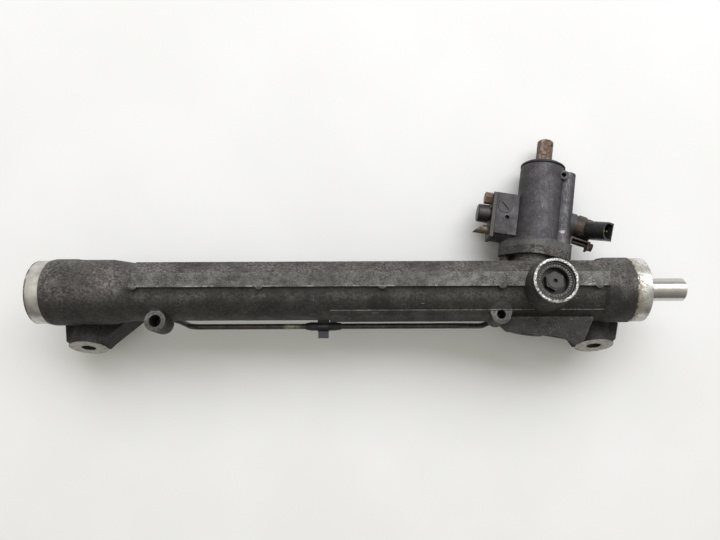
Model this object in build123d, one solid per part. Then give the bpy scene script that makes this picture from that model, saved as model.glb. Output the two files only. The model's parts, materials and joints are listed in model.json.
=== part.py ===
from build123d import *
import math
import os

# Hydraulic rack and pinion steering gear with a rotary control valve.
#
# Frame of the finished part: +X runs along the rack, +Z points up, and the origin is the
# centre of the left end face of the housing. The casting is modelled in its own frame,
# in which X is the rack axis, Y points towards the input shaft and Z is the axis of the
# yoke. The whole assembly is then rolled about the rack axis into the way that it lies.

# ---------------------------------------------------------------- driving dimensions
LIE_ANGLE = 12.0            # roll of the casting about the rack axis, degrees

# Clearances
RUN = 0.04                  # radial clearance of a running fit
SEAT = 0.02                 # radial clearance of a seated piece

# Housing, along the rack axis
HOUSING_LENGTH = 629.0
TUBE_RADIUS = 30.5
SLEEVE_RADIUS = 34.0
SLEEVE_TAPER = 22.0
BULGE_HEIGHT = 0.9
BULGE_START = 19.0
BULGE_LENGTH = 20.0
COLLAR_LENGTH = 41.0
COLLAR_TAPER = 6.0
BOOT_SEAT_RADIUS = 33.2
BOOT_SEAT_LENGTH = 14.0
CUP_RADIUS = 29.0
LEFT_CUP_DEPTH = 78.0
RIGHT_CUP_DEPTH = 35.0
CYLINDER_RADIUS = 23.0
CYLINDER_LENGTH = 255.0
INNER_SEAL_SEAT_RADIUS = 19.0
INNER_SEAL_SEAT_LENGTH = 14.0
TUNNEL_RADIUS = 15.0
EDGE_BREAK = 0.8

# Flats, pads and small bosses of the casting
SPINE_START = 108.0
SPINE_SETBACK = 43.0        # distance of the spine's end from the housing's right end
PAD_RADIUS = 4.6
PAD_SHARES = (0.003, 0.266, 0.524, 0.775, 0.977)
LEDGE_START = 305.0
LEDGE_SETBACK = 40.0
WEB_LOW = 2.0
WEB_THICKNESS = 7.0
LUG_RADIUS = 10.8
LEFT_LUG_HOLE_RADIUS = 6.2   # minor radii of the tapped holes
RIGHT_LUG_HOLE_RADIUS = 4.6
LUG_HOLE_DEPTH = 24.0
LEFT_LUG_X = 129.0
LEFT_LUG_Y = -33.2
LEFT_LUG_TOP = 20.0
LEFT_LUG_HEIGHT = 29.0
RIGHT_LUG_SETBACK = 150.0
RIGHT_LUG_Y = -28.0
RIGHT_LUG_TOP = 19.5
RIGHT_LUG_HEIGHT = 30.0

# Mounting bosses
LEFT_MOUNT_X = 42.6
RIGHT_MOUNT_SETBACK = 40.4
MOUNT_LEAN = 14.0           # degrees between the mounting bolt and the casting's -Y
MOUNT_OFFSET = 42.0         # distance of the bolt axis behind the rack axis
MOUNT_FACE_REACH = 47.3     # distance of the bolted face in front of the rack axis
MOUNT_BORE_RADIUS = 7.5
MOUNT_FACE_RADIUS = 20.0
MOUNT_LENGTH = 81.8
MOUNT_WEB_DEPTH = 13.0

# Rack bar
BAR_RADIUS = 12.0
BAR_LENGTH = 673.0
BAR_START = 2.0
END_THREAD_RADIUS = 6.0
END_THREAD_DEPTH = 26.0

# Gear
TOOTH_COUNT = 8
NORMAL_MODULE = 1.9
PRESSURE_ANGLE = 20.0
HELIX_ANGLE = 25.0
PROFILE_SHIFT = 0.5
BACKLASH = 0.12
RACK_SPACES = 29
RACK_REFERENCE = 7.3        # distance of the rack's reference line from the bar's axis
PINION_SETBACK = 109.5
PINION_LEAN = 9.5           # degrees that the pinion leans towards +X at its top
PINION_FACE = 34.0

# Pinion stack, heights along the pinion axis from the mesh
CHAMBER_RADIUS = 13.4
BEARING_OUTER_RADIUS = 15.0
BEARING_INNER_RADIUS = 6.0
BEARING_TOP = -21.0
BEARING_WIDTH = 10.0
ROLLER_COUNT = 9
ROLLER_RADIUS = 2.1
CAP_RADIUS = 16.0
CAP_LENGTH = 7.0
NUT_LENGTH = 5.0
PINION_BOTTOM = -37.0
UPPER_BUSH_BOTTOM = 21.0
UPPER_BUSH_LENGTH = 11.0
UPPER_JOURNAL_RADIUS = 10.0
PINION_SEAL_LENGTH = 6.0
FLANGE_PLANE = 47.0
FLANGE_THICKNESS = 9.0
FLANGE_RADIUS = 26.5
FLANGE_BOLT_X = 28.5
FLANGE_BOLT_Y = -9.0
FLANGE_LOBE_RADIUS = 8.5
FLANGE_BOLT_RADIUS = 4.0
FLANGE_BOLT_GRIP = 12.0
FLANGE_BOLT_HEAD_RADIUS = 6.2
TOWER_RADIUS = 22.5

# Control valve
VALVE_HOUSING_RADIUS = 24.0
VALVE_HOUSING_TOP = 142.0
VALVE_BORE_RADIUS = 19.0
PINION_HEAD_TOP = 60.0
SLEEVE_SKIRT = 6.0
VALVE_SLEEVE_TOP = 112.0
VALVE_ROTOR_RADIUS = 10.0
SLEEVE_RING_COUNT = 4
PINION_HEAD_RADIUS = 12.5
TORSION_BAR_RADIUS = 3.2
INPUT_JOURNAL_RADIUS = 9.5
INPUT_SHAFT_RADIUS = 8.8
INPUT_SHAFT_TOP = 177.0
INPUT_FLAT_WIDTH = 9.0
INPUT_FLAT_HEIGHT = 153.0    # where the clamped end and its flat begin
STOP_ANGLE = 4.5            # degrees of valve twist before the stops meet
STOP_WIDTH = 7.0
STOP_REACH = 8.0
DUST_CAP_RADIUS = 24.3
DUST_CAP_HEIGHT = 5.0
INPUT_SEAT_RADIUS = 16.0
INPUT_RING_HEIGHT = 134.0
INPUT_RING_WIDTH = 1.6
INPUT_PIN_HEIGHT = 170.0
INPUT_PIN_RADIUS = 1.8
INPUT_PIN_TURN = -49.0
INPUT_FLAT_TURN = 18.0
SLEEVE_RING_WIDTH = 2.2

# Yoke, heights along the yoke axis from the rack axis
YOKE_SETBACK = 104.0
YOKE_RADIUS = 18.0
YOKE_TOP = 30.0
YOKE_GAP = 0.2              # free lift of the yoke below the adjuster plug
YOKE_BOSS_RADIUS = 21.8
YOKE_BOSS_TOP = 55.0
PLUG_RADIUS = 19.0
PLUG_TOP = 53.6
PLUG_RECESS_RADIUS = 13.3
PLUG_RECESS_DEPTH = 11.0
PLUG_HEX_RADIUS = 9.6
YOKE_LOW = 3.0
YOKE_LINER = 0.9
YOKE_SPRING_RADIUS = 9.0
YOKE_SPRING_WIRE = 3.0
YOKE_SPRING_POCKET = 8.0

# Port block on the valve housing, in the pinion frame (X across, Y away from the yoke side)
BLOCK_REACH = 51.5
BLOCK_FRONT = -6.0
BLOCK_BACK = 20.0
BLOCK_BOTTOM = 59.5
BLOCK_TOP = 106.5
PORT_DEPTH_Y = 7.0          # where the two port axes lie between the block's front and back
PRESSURE_PORT_HEIGHT = 83.5
RETURN_PORT_HEIGHT = 65.0
PORT_BOLT_HEIGHT = 102.0
PORT_BORE_RADIUS = 6.0
PORT_BORE_DEPTH = 10.0
RETURN_BOSS_RADIUS = 12.0
PLATE_THICKNESS = 4.0
FITTING_RADIUS = 10.0
FITTING_LENGTH = 14.5
STUB_LENGTH = 21.0
PLUG_DISC_RADIUS = 7.7
PLUG_DISC_X = -38.0
PLUG_DISC_HEIGHT = 91.3
GAUGE_HOLE_RADIUS = 2.4

# Column and ear on the other side of the valve housing
COLUMN_X = 25.5
COLUMN_Y = -5.0
COLUMN_RADIUS = 10.0
COLUMN_TOP = 138.5
EAR_X = 19.0
EAR_HEIGHT = 133.0
EAR_RADIUS = 5.3
EAR_FRONT = -18.0
EAR_BORE_RADIUS = 2.6

# Solenoid valve
SOLENOID_HEIGHT = 82.5
SOLENOID_Y = 2.0
SOLENOID_DROOP = 10.0       # degrees that its axis falls towards the flange
SOLENOID_SEAT = 39.5        # distance of its flange from the pinion axis
SOLENOID_RADIUS = 13.0
SOLENOID_LENGTH = 20.0
SOLENOID_WALL = 1.5
GUIDE_RADIUS = 7.0
GUIDE_LENGTH = 15.0
ARMATURE_RADIUS = 5.0
ARMATURE_LENGTH = 12.0
ARMATURE_LOW = -8.0
NEEDLE_RADIUS = 1.6
NEEDLE_STROKE = 1.2
SOLENOID_SCREW_OFFSET = 17.0
SOLENOID_SCREW_RADIUS = 2.4
CONNECTOR_SETBACK = 10.0      # distance of its back from the solenoid's end
CONNECTOR_WIDTH = 19.5
CONNECTOR_LENGTH = 31.5
CONNECTOR_WALL = 1.8
CONNECTOR_DEPTH = 12.0
CONNECTOR_DIRECTION = (0.62, -0.12, 0.77)
PIN_COUNT = 2

# Pipes between the valve and the two ends of the cylinder
PIPE_RADIUS = 3.0
PIPE_WALL = 0.9
PIPE_NUT_RADIUS = 7.6
PIPE_NUT_LENGTH = 9.0
PIPE_BOSS_RADIUS = 8.5
VALVE_PORT_HEIGHT = 66.0
VALVE_PORT_BLOCK = 16.0
VALVE_PORT_Y = 31.5
LONG_PORT_X = 8.0
SHORT_PORT_X = -12.0
CYLINDER_PORT_REACH = 38.0
OUTER_PORT_ANGLE = 250.0    # degrees about the rack axis, from the casting's +Y
INNER_PORT_ANGLE = 270.0
PIPE_RUN_Y = -35.1
PIPE_RUN_Z = -17.7
LONG_VALVE_RUN = 46.0
LONG_PIPE_KNEE = (-13.5, -17.0, -50.0)
LONG_PIPE_RISE = (-49.5, -33.0, -38.0)
PIPE_RUN_GAP = 76.5          # distance of the straight run's end from the pinion
PIPE_DROP_GAP = 38.0
LONG_PIPE_DROP = (17.0, -26.0, -46.0)
OUTER_PORT_RUN = 22.0
LONG_PIPE_BENDS = (24.0, 24.0, 20.0, 24.0, 16.0, 16.0, 9.0)
SHORT_VALVE_RUN = 36.0
SHORT_PIPE_KNEE = (-33.5, 2.0, -58.0)
INNER_PORT_RUN = 20.0
SHORT_PIPE_BENDS = (22.0, 24.0, 10.0)
PIPE_SLEEVE_X = 278.0
PIPE_SLEEVE_LENGTH = 38.0
PIPE_SLEEVE_RADIUS = 4.6
CLIP_WIDTH = 12.0

# Cylinder, piston and seals
BUSHING_RING = 4.0          # thickness of the ring that holds the end bushing
BUSHING_LENGTH = 28.0
BUSHING_LAND = 15.0
SEAL_RADIUS = 17.0
SEAL_LENGTH = 9.0
PISTON_LENGTH = 20.0
PISTON_RING_WIDTH = 4.0
PISTON_RING_DEPTH = 2.5
CIRCLIP_WIDTH = 1.6
CIRCLIP_RADIUS = 15.0
CIRCLIP_GROOVE_RADIUS = 11.0
O_RING_WIDTH = 2.4

# ---------------------------------------------------------------- derived geometry
LEAN = math.radians(PINION_LEAN)
HELIX = math.radians(HELIX_ANGLE)
TRANSVERSE_MODULE = NORMAL_MODULE / math.cos(HELIX)
PITCH_RADIUS = TOOTH_COUNT * TRANSVERSE_MODULE / 2
TIP_RADIUS = PITCH_RADIUS + NORMAL_MODULE * (1 + PROFILE_SHIFT)
ROOT_RADIUS = PITCH_RADIUS - NORMAL_MODULE * (1.25 - PROFILE_SHIFT)
CENTRE_DISTANCE = RACK_REFERENCE + PITCH_RADIUS + PROFILE_SHIFT * NORMAL_MODULE
TOOTH_SLANT = LEAN - HELIX
RACK_PITCH = math.pi * NORMAL_MODULE / math.cos(TOOTH_SLANT)
TWIST_PER_MM = -math.degrees(math.tan(HELIX) / PITCH_RADIUS)

# Places along the rack axis
RIGHT_MOUNT_X = HOUSING_LENGTH - RIGHT_MOUNT_SETBACK
RIGHT_LUG_X = HOUSING_LENGTH - RIGHT_LUG_SETBACK
PINION_X = HOUSING_LENGTH - PINION_SETBACK
YOKE_X = HOUSING_LENGTH - YOKE_SETBACK
BUSHING_START = LEFT_CUP_DEPTH + BUSHING_RING
BUSHING_END = BUSHING_START + BUSHING_LENGTH
CYLINDER_END = LEFT_CUP_DEPTH + CYLINDER_LENGTH
PISTON_X = (BUSHING_END + CYLINDER_END - PISTON_LENGTH) / 2
OUTER_PORT_X = BUSHING_END + PIPE_BOSS_RADIUS
INNER_PORT_X = CYLINDER_END - PIPE_BOSS_RADIUS
CLIP_X = PIPE_SLEEVE_X + (PIPE_SLEEVE_LENGTH - CLIP_WIDTH) / 2
PLUG_BOTTOM = YOKE_TOP + YOKE_GAP

RACK_LINE = Plane(origin=(0, 0, 0), x_dir=(0, 1, 0), z_dir=(1, 0, 0))
YOKE_LINE = Plane(origin=(YOKE_X, 0, 0), x_dir=(1, 0, 0), z_dir=(0, 0, 1))
PINION_LINE = Plane(
    origin=(PINION_X, 0, -CENTRE_DISTANCE),
    x_dir=(math.cos(LEAN), -math.sin(LEAN), 0),
    z_dir=(math.sin(LEAN), math.cos(LEAN), 0),
)


# ---------------------------------------------------------------- helpers
def turned(*outline):
    """A solid of revolution about Z from a closed outline of (radius, height) points."""
    section = make_face(Polyline(*outline, close=True).edges())
    return revolve(Plane.XZ * section, Axis.Z)


def rod(radius, bottom, length):
    return Pos(0, 0, bottom) * Cylinder(radius, length, align=(Align.CENTER, Align.CENTER, Align.MIN))


def ring(outer, inner, bottom, length):
    return rod(outer, bottom, length) - rod(inner, bottom, length)


def block(x_span, y_span, z_span):
    """A box between pairs of limits."""
    size = [span[1] - span[0] for span in (x_span, y_span, z_span)]
    corner = Pos(x_span[0], y_span[0], z_span[0])
    return corner * Box(*size, align=(Align.MIN, Align.MIN, Align.MIN))


def prism(points, bottom, length):
    """A polygon in XY, drawn up along Z."""
    face = make_face(Polyline(*points, close=True).edges())
    return extrude(Pos(0, 0, bottom) * face, amount=length, dir=(0, 0, 1))


def placed(frame, shape):
    return frame.location * shape


def group(pieces):
    """Several separate solids as one node."""
    return Compound([solid for piece in pieces for solid in piece.solids()])


def mount_frame(x):
    """Frame of a mounting boss: Z leaves along the bolt, Y points to the rack axis."""
    lean = math.radians(MOUNT_LEAN)
    outward = Vector(0, -math.cos(lean), math.sin(lean))
    to_axis = Vector(0, math.sin(lean), math.cos(lean))
    origin = Vector(x, 0, 0) - to_axis * MOUNT_OFFSET + outward * MOUNT_FACE_REACH
    return Plane(origin=origin, x_dir=(1, 0, 0), z_dir=outward)


def port_frame(x, angle):
    """Frame of a cylinder port: origin on its sealing face, Z leaving the housing."""
    turn = math.radians(angle)
    outward = Vector(0, math.cos(turn), math.sin(turn))
    origin = Vector(x, 0, 0) + outward * CYLINDER_PORT_REACH
    return Plane(origin=origin, x_dir=(1, 0, 0), z_dir=outward)


def valve_port_frame(x):
    """Frame of a pipe port behind the valve housing: Z leaves towards the rack."""
    origin = PINION_LINE.from_local_coords(Vector(x, VALVE_PORT_Y, VALVE_PORT_HEIGHT))
    return Plane(origin=origin, x_dir=PINION_LINE.x_dir, z_dir=PINION_LINE.z_dir * -1)


def solenoid_frame():
    """Frame of the solenoid: origin on its flange, Z leaving the valve housing."""
    droop = math.radians(SOLENOID_DROOP)
    origin = PINION_LINE.from_local_coords(Vector(SOLENOID_SEAT, SOLENOID_Y, SOLENOID_HEIGHT))
    outward = PINION_LINE.x_dir * math.cos(droop) - PINION_LINE.z_dir * math.sin(droop)
    return Plane(origin=origin, x_dir=PINION_LINE.y_dir, z_dir=outward)


# ---------------------------------------------------------------- housing
def flange_outline():
    """Outline of the joint between the housing and the valve housing."""
    circles = Circle(FLANGE_RADIUS).edges()
    for side in (1, -1):
        circles += (Pos(*flange_bolt_place(side)) * Circle(FLANGE_LOBE_RADIUS)).edges()
    return make_hull(circles)


def flange_bolt_place(side):
    return side * FLANGE_BOLT_X, side * FLANGE_BOLT_Y


def barrel():
    """The turned outer form of the housing from end to end."""
    end = HOUSING_LENGTH
    bulge = SLEEVE_RADIUS + BULGE_HEIGHT
    outline = [
        (0, 0),
        (BOOT_SEAT_RADIUS, 0),
        (BOOT_SEAT_RADIUS, BOOT_SEAT_LENGTH),
        (SLEEVE_RADIUS, BOOT_SEAT_LENGTH + EDGE_BREAK),
        (bulge, BULGE_START),
        (bulge, BULGE_START + BULGE_LENGTH),
        (SLEEVE_RADIUS, BULGE_START + BULGE_LENGTH + 8),
        (SLEEVE_RADIUS, LEFT_CUP_DEPTH),
        (TUBE_RADIUS, LEFT_CUP_DEPTH + SLEEVE_TAPER),
        (TUBE_RADIUS, end - COLLAR_LENGTH - COLLAR_TAPER),
        (SLEEVE_RADIUS - 1, end - COLLAR_LENGTH - 2),
        (SLEEVE_RADIUS, end - COLLAR_LENGTH + 3),
        (SLEEVE_RADIUS, end - BOOT_SEAT_LENGTH),
        (BOOT_SEAT_RADIUS, end - BOOT_SEAT_LENGTH),
        (BOOT_SEAT_RADIUS, end),
        (0, end),
    ]
    return placed(RACK_LINE, turned(*outline))


def spine():
    """The flat-topped spine along the upper side of the tube, with its ejector pads."""
    outline = [(-1.3, 34.4), (12.5, 37.4), (26.2, 26.0), (31.2, 1.5), (16.0, 0.0), (-1.3, 16.0)]
    length = HOUSING_LENGTH - SPINE_SETBACK - SPINE_START
    solid = placed(RACK_LINE, prism(outline, SPINE_START, length))
    for share in PAD_SHARES:
        solid += Pos(SPINE_START + share * length, 0.5, 20) * rod(PAD_RADIUS, 0, 14.8)
    return solid


def ledge():
    """The flat strip along the lower front of the tube."""
    outline = [(-23.8, 20.5), (-32.8, 1.2), (-29.0, -9.0), (-14.0, -2.0), (-14.0, 18.0)]
    return placed(RACK_LINE, prism(outline, LEDGE_START, HOUSING_LENGTH - LEDGE_SETBACK - LEDGE_START))


def front_web():
    """The flat web from the right lug to the right boss, over the end of the pinion's bore."""
    edge = [(-40, -20), (-40, -37), (-33, -44), (-8, -46), (18, -48), (28, -52)]
    edge += [(38, -58), (45, -54), (56, -32), (56, -20)]
    outline = FilletPolyline(*edge, radius=[4] * 8, close=False)
    face = make_face(outline.edges() + [Line(edge[-1], edge[0])])
    return Pos(PINION_X, 0, WEB_LOW) * extrude(face, amount=WEB_THICKNESS)


def lugs():
    """The two small tapped lugs beside the tube."""
    left = Pos(LEFT_LUG_X, LEFT_LUG_Y, LEFT_LUG_TOP - LEFT_LUG_HEIGHT)
    right = Pos(RIGHT_LUG_X, RIGHT_LUG_Y, RIGHT_LUG_TOP - RIGHT_LUG_HEIGHT)
    solid = left * rod(LUG_RADIUS, 0, LEFT_LUG_HEIGHT)
    solid += right * rod(LUG_RADIUS - 1, 0, RIGHT_LUG_HEIGHT)
    shield = [(-11, 2), (-8, -6), (8, -6), (11, 2), (9, 22), (2, 30), (-6, 26)]
    solid += right * prism(shield, 12, RIGHT_LUG_HEIGHT - 12)
    return solid


def mounting_boss(x, web):
    """A bolted boss behind the tube, with the web that carries it."""
    boss = rod(MOUNT_FACE_RADIUS, -MOUNT_LENGTH, MOUNT_LENGTH)
    plate = make_face(Polyline(*web, close=True).edges())
    plate = Plane.XZ * plate
    plate = extrude(plate, amount=MOUNT_WEB_DEPTH, dir=(0, 1, 0), both=True)
    return placed(mount_frame(x), boss + plate)


def yoke_boss():
    """The round boss that holds the yoke and its adjuster plug."""
    top = YOKE_BOSS_TOP
    outline = [(0, 4), (27.5, 4), (27.5, 16), (23.2, top - 11), (YOKE_BOSS_RADIUS, top - 8)]
    outline += [(YOKE_BOSS_RADIUS, top - EDGE_BREAK), (YOKE_BOSS_RADIUS - EDGE_BREAK, top), (0, top)]
    return placed(YOKE_LINE, turned(*outline))


def pinion_tower():
    """The cast tower round the pinion, up to the valve housing's joint."""
    neck = FLANGE_PLANE - FLANGE_THICKNESS
    low = PINION_BOTTOM - CAP_LENGTH
    outline = [(0, low), (CAP_RADIUS + 2.2, low), (CAP_RADIUS + 3.2, low + 1.5), (CAP_RADIUS + 3.2, -36)]
    outline += [(TOWER_RADIUS, -31), (TOWER_RADIUS, neck - 5), (TOWER_RADIUS - 1.2, neck - 3)]
    outline += [(TOWER_RADIUS - 1.2, neck + 1), (0, neck + 1)]
    tower = turned(*outline)
    tower += Pos(0, 0, neck) * extrude(flange_outline(), amount=FLANGE_THICKNESS)
    # gusset from the spine up to the flange
    tower += prism([(-30, -12), (-12, -22), (14, -22), (20, 4), (-30, 10)], 8, neck - 20)
    return placed(PINION_LINE, tower)


def housing_bores():
    """Everything that is bored along the rack axis."""
    end = HOUSING_LENGTH
    seat_end = CYLINDER_END + INNER_SEAL_SEAT_LENGTH
    bores = rod(CUP_RADIUS, -1, LEFT_CUP_DEPTH + 1)
    bores += rod(CYLINDER_RADIUS, LEFT_CUP_DEPTH - 1, CYLINDER_LENGTH + 1)
    bores += rod(INNER_SEAL_SEAT_RADIUS, CYLINDER_END - 1, INNER_SEAL_SEAT_LENGTH + 1)
    bores += rod(TUNNEL_RADIUS, seat_end - 1, end - RIGHT_CUP_DEPTH - seat_end + 2)
    bores += rod(CUP_RADIUS, end - RIGHT_CUP_DEPTH, RIGHT_CUP_DEPTH + 1)
    return placed(RACK_LINE, bores)


def pinion_bores():
    """The stepped bore of the pinion tower."""
    low = PINION_BOTTOM - CAP_LENGTH
    bearing_low = BEARING_TOP - BEARING_WIDTH
    bores = rod(CAP_RADIUS, low - 1, CAP_LENGTH + 1)
    bores += rod(BEARING_OUTER_RADIUS - 1.5, PINION_BOTTOM - 1, bearing_low - PINION_BOTTOM + 2)
    bores += rod(BEARING_OUTER_RADIUS, bearing_low, BEARING_WIDTH)
    bores += rod(CHAMBER_RADIUS, BEARING_TOP - 1, UPPER_BUSH_BOTTOM - BEARING_TOP + 2)
    bores += rod(BEARING_OUTER_RADIUS, UPPER_BUSH_BOTTOM, FLANGE_PLANE - UPPER_BUSH_BOTTOM + 1)
    for side in (1, -1):
        spot = Pos(*flange_bolt_place(side), 0)
        neck = FLANGE_PLANE - FLANGE_THICKNESS
        bores += spot * rod(FLANGE_BOLT_RADIUS + 0.3, neck - 1, 12)
        bores += spot * rod(FLANGE_BOLT_HEAD_RADIUS + 0.5, neck - 14, 14)
    return placed(PINION_LINE, bores)


def yoke_bores():
    bores = rod(YOKE_RADIUS, 2, PLUG_BOTTOM - 2)
    bores += rod(PLUG_RADIUS + SEAT, PLUG_BOTTOM, YOKE_BOSS_TOP)
    return placed(YOKE_LINE, bores)


def rack_housing():
    left_web = [(-19, -3), (-24, -22), (-26, -56), (50, -56), (50, -34), (24, -9), (19, -3)]
    right_web = [(-19, -3), (-24, -12), (-58, -18), (-58, -56), (25, -56), (25, -20), (19, -3)]
    casting = barrel() + spine() + ledge() + front_web() + lugs() + yoke_boss() + pinion_tower()
    casting += mounting_boss(LEFT_MOUNT_X, left_web)
    casting += mounting_boss(RIGHT_MOUNT_X, right_web)
    cuts = housing_bores() + pinion_bores() + yoke_bores()
    for x in (LEFT_MOUNT_X, RIGHT_MOUNT_X):
        cuts += placed(mount_frame(x), rod(MOUNT_BORE_RADIUS, -MOUNT_LENGTH - 1, MOUNT_LENGTH + 2))
    left_hole = rod(LEFT_LUG_HOLE_RADIUS, -LUG_HOLE_DEPTH, LUG_HOLE_DEPTH + 1)
    right_hole = rod(RIGHT_LUG_HOLE_RADIUS, -LUG_HOLE_DEPTH, LUG_HOLE_DEPTH + 1)
    cuts += Pos(LEFT_LUG_X, LEFT_LUG_Y, LEFT_LUG_TOP) * left_hole
    cuts += Pos(RIGHT_LUG_X, RIGHT_LUG_Y, RIGHT_LUG_TOP) * right_hole
    for x, angle in ((OUTER_PORT_X, OUTER_PORT_ANGLE), (INNER_PORT_X, INNER_PORT_ANGLE)):
        frame = port_frame(x, angle)
        casting += placed(frame, rod(PIPE_BOSS_RADIUS, -12, 12))
        cuts += placed(frame, rod(PIPE_RADIUS + SEAT, -6, 7))
        cuts += placed(frame, rod(PIPE_RADIUS - PIPE_WALL, -20, 21))
    return casting - cuts


# ---------------------------------------------------------------- rack and cylinder
def rack_bar():
    """The bar with its helical teeth cut into the milled flat on the pinion's side."""
    outline = [(0, BAR_START), (BAR_RADIUS - 1.2, BAR_START), (BAR_RADIUS, BAR_START + 1.2)]
    for groove in circlip_places():
        outline += [(BAR_RADIUS, groove), (CIRCLIP_GROOVE_RADIUS, groove)]
        outline += [(CIRCLIP_GROOVE_RADIUS, groove + CIRCLIP_WIDTH), (BAR_RADIUS, groove + CIRCLIP_WIDTH)]
    end = BAR_START + BAR_LENGTH
    outline += [(BAR_RADIUS, end - 1.2), (BAR_RADIUS - 1.2, end), (0, end)]
    bar = placed(RACK_LINE, turned(*outline))

    reach = 2 * BAR_RADIUS
    tip_plane = -(RACK_REFERENCE + NORMAL_MODULE)
    half_span = (RACK_SPACES / 2 + 0.5) * RACK_PITCH
    cuts = [block((PINION_X - half_span, PINION_X + half_span), (-reach, reach), (-reach, tip_plane))]
    cuts += [tooth_space(number) for number in range(RACK_SPACES)]
    cuts.append(placed(RACK_LINE, rod(END_THREAD_RADIUS, BAR_START - 1, END_THREAD_DEPTH + 1)))
    cuts.append(placed(RACK_LINE, rod(END_THREAD_RADIUS, end - END_THREAD_DEPTH, END_THREAD_DEPTH + 1)))
    return bar - cuts


def tooth_space(number):
    """The prism between two rack teeth, slanted across the bar."""
    slope = math.tan(math.radians(PRESSURE_ANGLE))
    middle = math.pi * NORMAL_MODULE / 4 + BACKLASH / 2
    root = RACK_REFERENCE - 1.25 * NORMAL_MODULE
    below = BAR_RADIUS + 1
    root_half = middle - (RACK_REFERENCE - root) * slope
    below_half = middle + (below - RACK_REFERENCE) * slope
    section = [(-root_half, -root), (root_half, -root), (below_half, -below), (-below_half, -below)]
    x = PINION_X + (number - (RACK_SPACES - 1) / 2) * RACK_PITCH
    along = Vector(math.sin(TOOTH_SLANT), math.cos(TOOTH_SLANT), 0)
    across = Vector(math.cos(TOOTH_SLANT), -math.sin(TOOTH_SLANT), 0)
    # drawn in a plane whose Y is the casting's Z, so that its normal is against `along`
    frame = Plane(origin=(x, 0, 0), x_dir=across, z_dir=along * -1)
    return placed(frame, prism(section, -2 * BAR_RADIUS, 4 * BAR_RADIUS))


def circlip_places():
    """Where the two piston circlips start along the bar."""
    return PISTON_X - CIRCLIP_WIDTH, PISTON_X + PISTON_LENGTH


def piston():
    body = rod(CYLINDER_RADIUS - RUN * 1.5, PISTON_X, PISTON_LENGTH)
    groove_start = PISTON_X + (PISTON_LENGTH - PISTON_RING_WIDTH) / 2
    body -= ring(CYLINDER_RADIUS + 1, CYLINDER_RADIUS - PISTON_RING_DEPTH, groove_start, PISTON_RING_WIDTH)
    body -= rod(BAR_RADIUS + SEAT, PISTON_X - 1, PISTON_LENGTH + 2)
    return placed(RACK_LINE, body)


def piston_seal_ring():
    start = PISTON_X + (PISTON_LENGTH - PISTON_RING_WIDTH) / 2 + SEAT
    inner = CYLINDER_RADIUS - PISTON_RING_DEPTH + SEAT
    return placed(RACK_LINE, ring(CYLINDER_RADIUS - RUN, inner, start, PISTON_RING_WIDTH - 2 * SEAT))


def piston_circlips():
    pair = []
    for start in circlip_places():
        clip = ring(CIRCLIP_RADIUS, CIRCLIP_GROOVE_RADIUS + SEAT, start + SEAT, CIRCLIP_WIDTH - 2 * SEAT)
        clip -= block((0, CIRCLIP_RADIUS * 2), (-2, 2), (start - 1, start + CIRCLIP_WIDTH + 1))
        pair.append(placed(RACK_LINE, clip))
    return group(pair)


def end_bushing():
    """The bush that closes the cylinder and carries the bar at its left end."""
    end = BUSHING_END
    groove = BUSHING_START + 6
    outer = CYLINDER_RADIUS - SEAT
    outline = [
        (BAR_RADIUS + RUN, BUSHING_START),
        (outer, BUSHING_START),
        (outer, groove),
        (outer - 2, groove),
        (outer - 2, groove + O_RING_WIDTH + 0.4),
        (outer, groove + O_RING_WIDTH + 0.4),
        (outer, end),
        (SEAL_RADIUS, end),
        (SEAL_RADIUS, BUSHING_START + BUSHING_LAND),
        (BAR_RADIUS + RUN, BUSHING_START + BUSHING_LAND),
    ]
    return placed(RACK_LINE, turned(*outline))


def lip_seal(outer, inner, start, length):
    """A rack seal: a ring with an open groove on its pressure side."""
    mid = (outer + inner) / 2
    outline = [(inner, start), (outer, start), (outer, start + length), (mid + 1.2, start + length)]
    outline += [(mid, start + length / 2), (mid - 1.2, start + length), (inner, start + length)]
    return turned(*outline)


def rack_seals():
    """The two bar seals that close the cylinder, one in each end."""
    bore = BAR_RADIUS + RUN
    left = lip_seal(SEAL_RADIUS - SEAT, bore, BUSHING_START + BUSHING_LAND + SEAT, SEAL_LENGTH)
    seat_start = LEFT_CUP_DEPTH + CYLINDER_LENGTH
    seat_end = seat_start + INNER_SEAL_SEAT_LENGTH
    right = lip_seal(INNER_SEAL_SEAT_RADIUS - SEAT, bore, -SEAL_LENGTH, SEAL_LENGTH)
    right = Pos(0, 0, seat_end - SEAL_LENGTH - SEAT - 1.5) * Rot(180, 0, 0) * right
    return group([placed(RACK_LINE, left), placed(RACK_LINE, right)])


def seal_support_rings():
    """The backing washers behind the two bar seals."""
    bore = BAR_RADIUS + 0.1
    left_start = BUSHING_START + BUSHING_LAND + SEAL_LENGTH + 2 * SEAT
    left_length = BUSHING_LENGTH - BUSHING_LAND - SEAL_LENGTH - 2 * SEAT
    left = ring(SEAL_RADIUS - SEAT, bore, left_start, left_length)
    seat_end = LEFT_CUP_DEPTH + CYLINDER_LENGTH + INNER_SEAL_SEAT_LENGTH
    right = ring(INNER_SEAL_SEAT_RADIUS - SEAT, bore, seat_end - 1.5, 1.5 - SEAT)
    return group([placed(RACK_LINE, left), placed(RACK_LINE, right)])


def bushing_retaining_ring():
    """The split ring that holds the end bushing against the cup's floor."""
    thickness = BUSHING_START - LEFT_CUP_DEPTH
    outer = CYLINDER_RADIUS - SEAT
    clip = ring(outer, outer - 3.5, LEFT_CUP_DEPTH + 0.5, thickness - 0.5 - SEAT)
    clip -= block((0, 2 * outer), (-3, 3), (LEFT_CUP_DEPTH, BUSHING_START))
    return placed(RACK_LINE, clip)


def bushing_o_ring():
    outer = CYLINDER_RADIUS - SEAT
    return placed(RACK_LINE, ring(outer, outer - 2 + SEAT, BUSHING_START + 6.2, O_RING_WIDTH))


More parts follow.
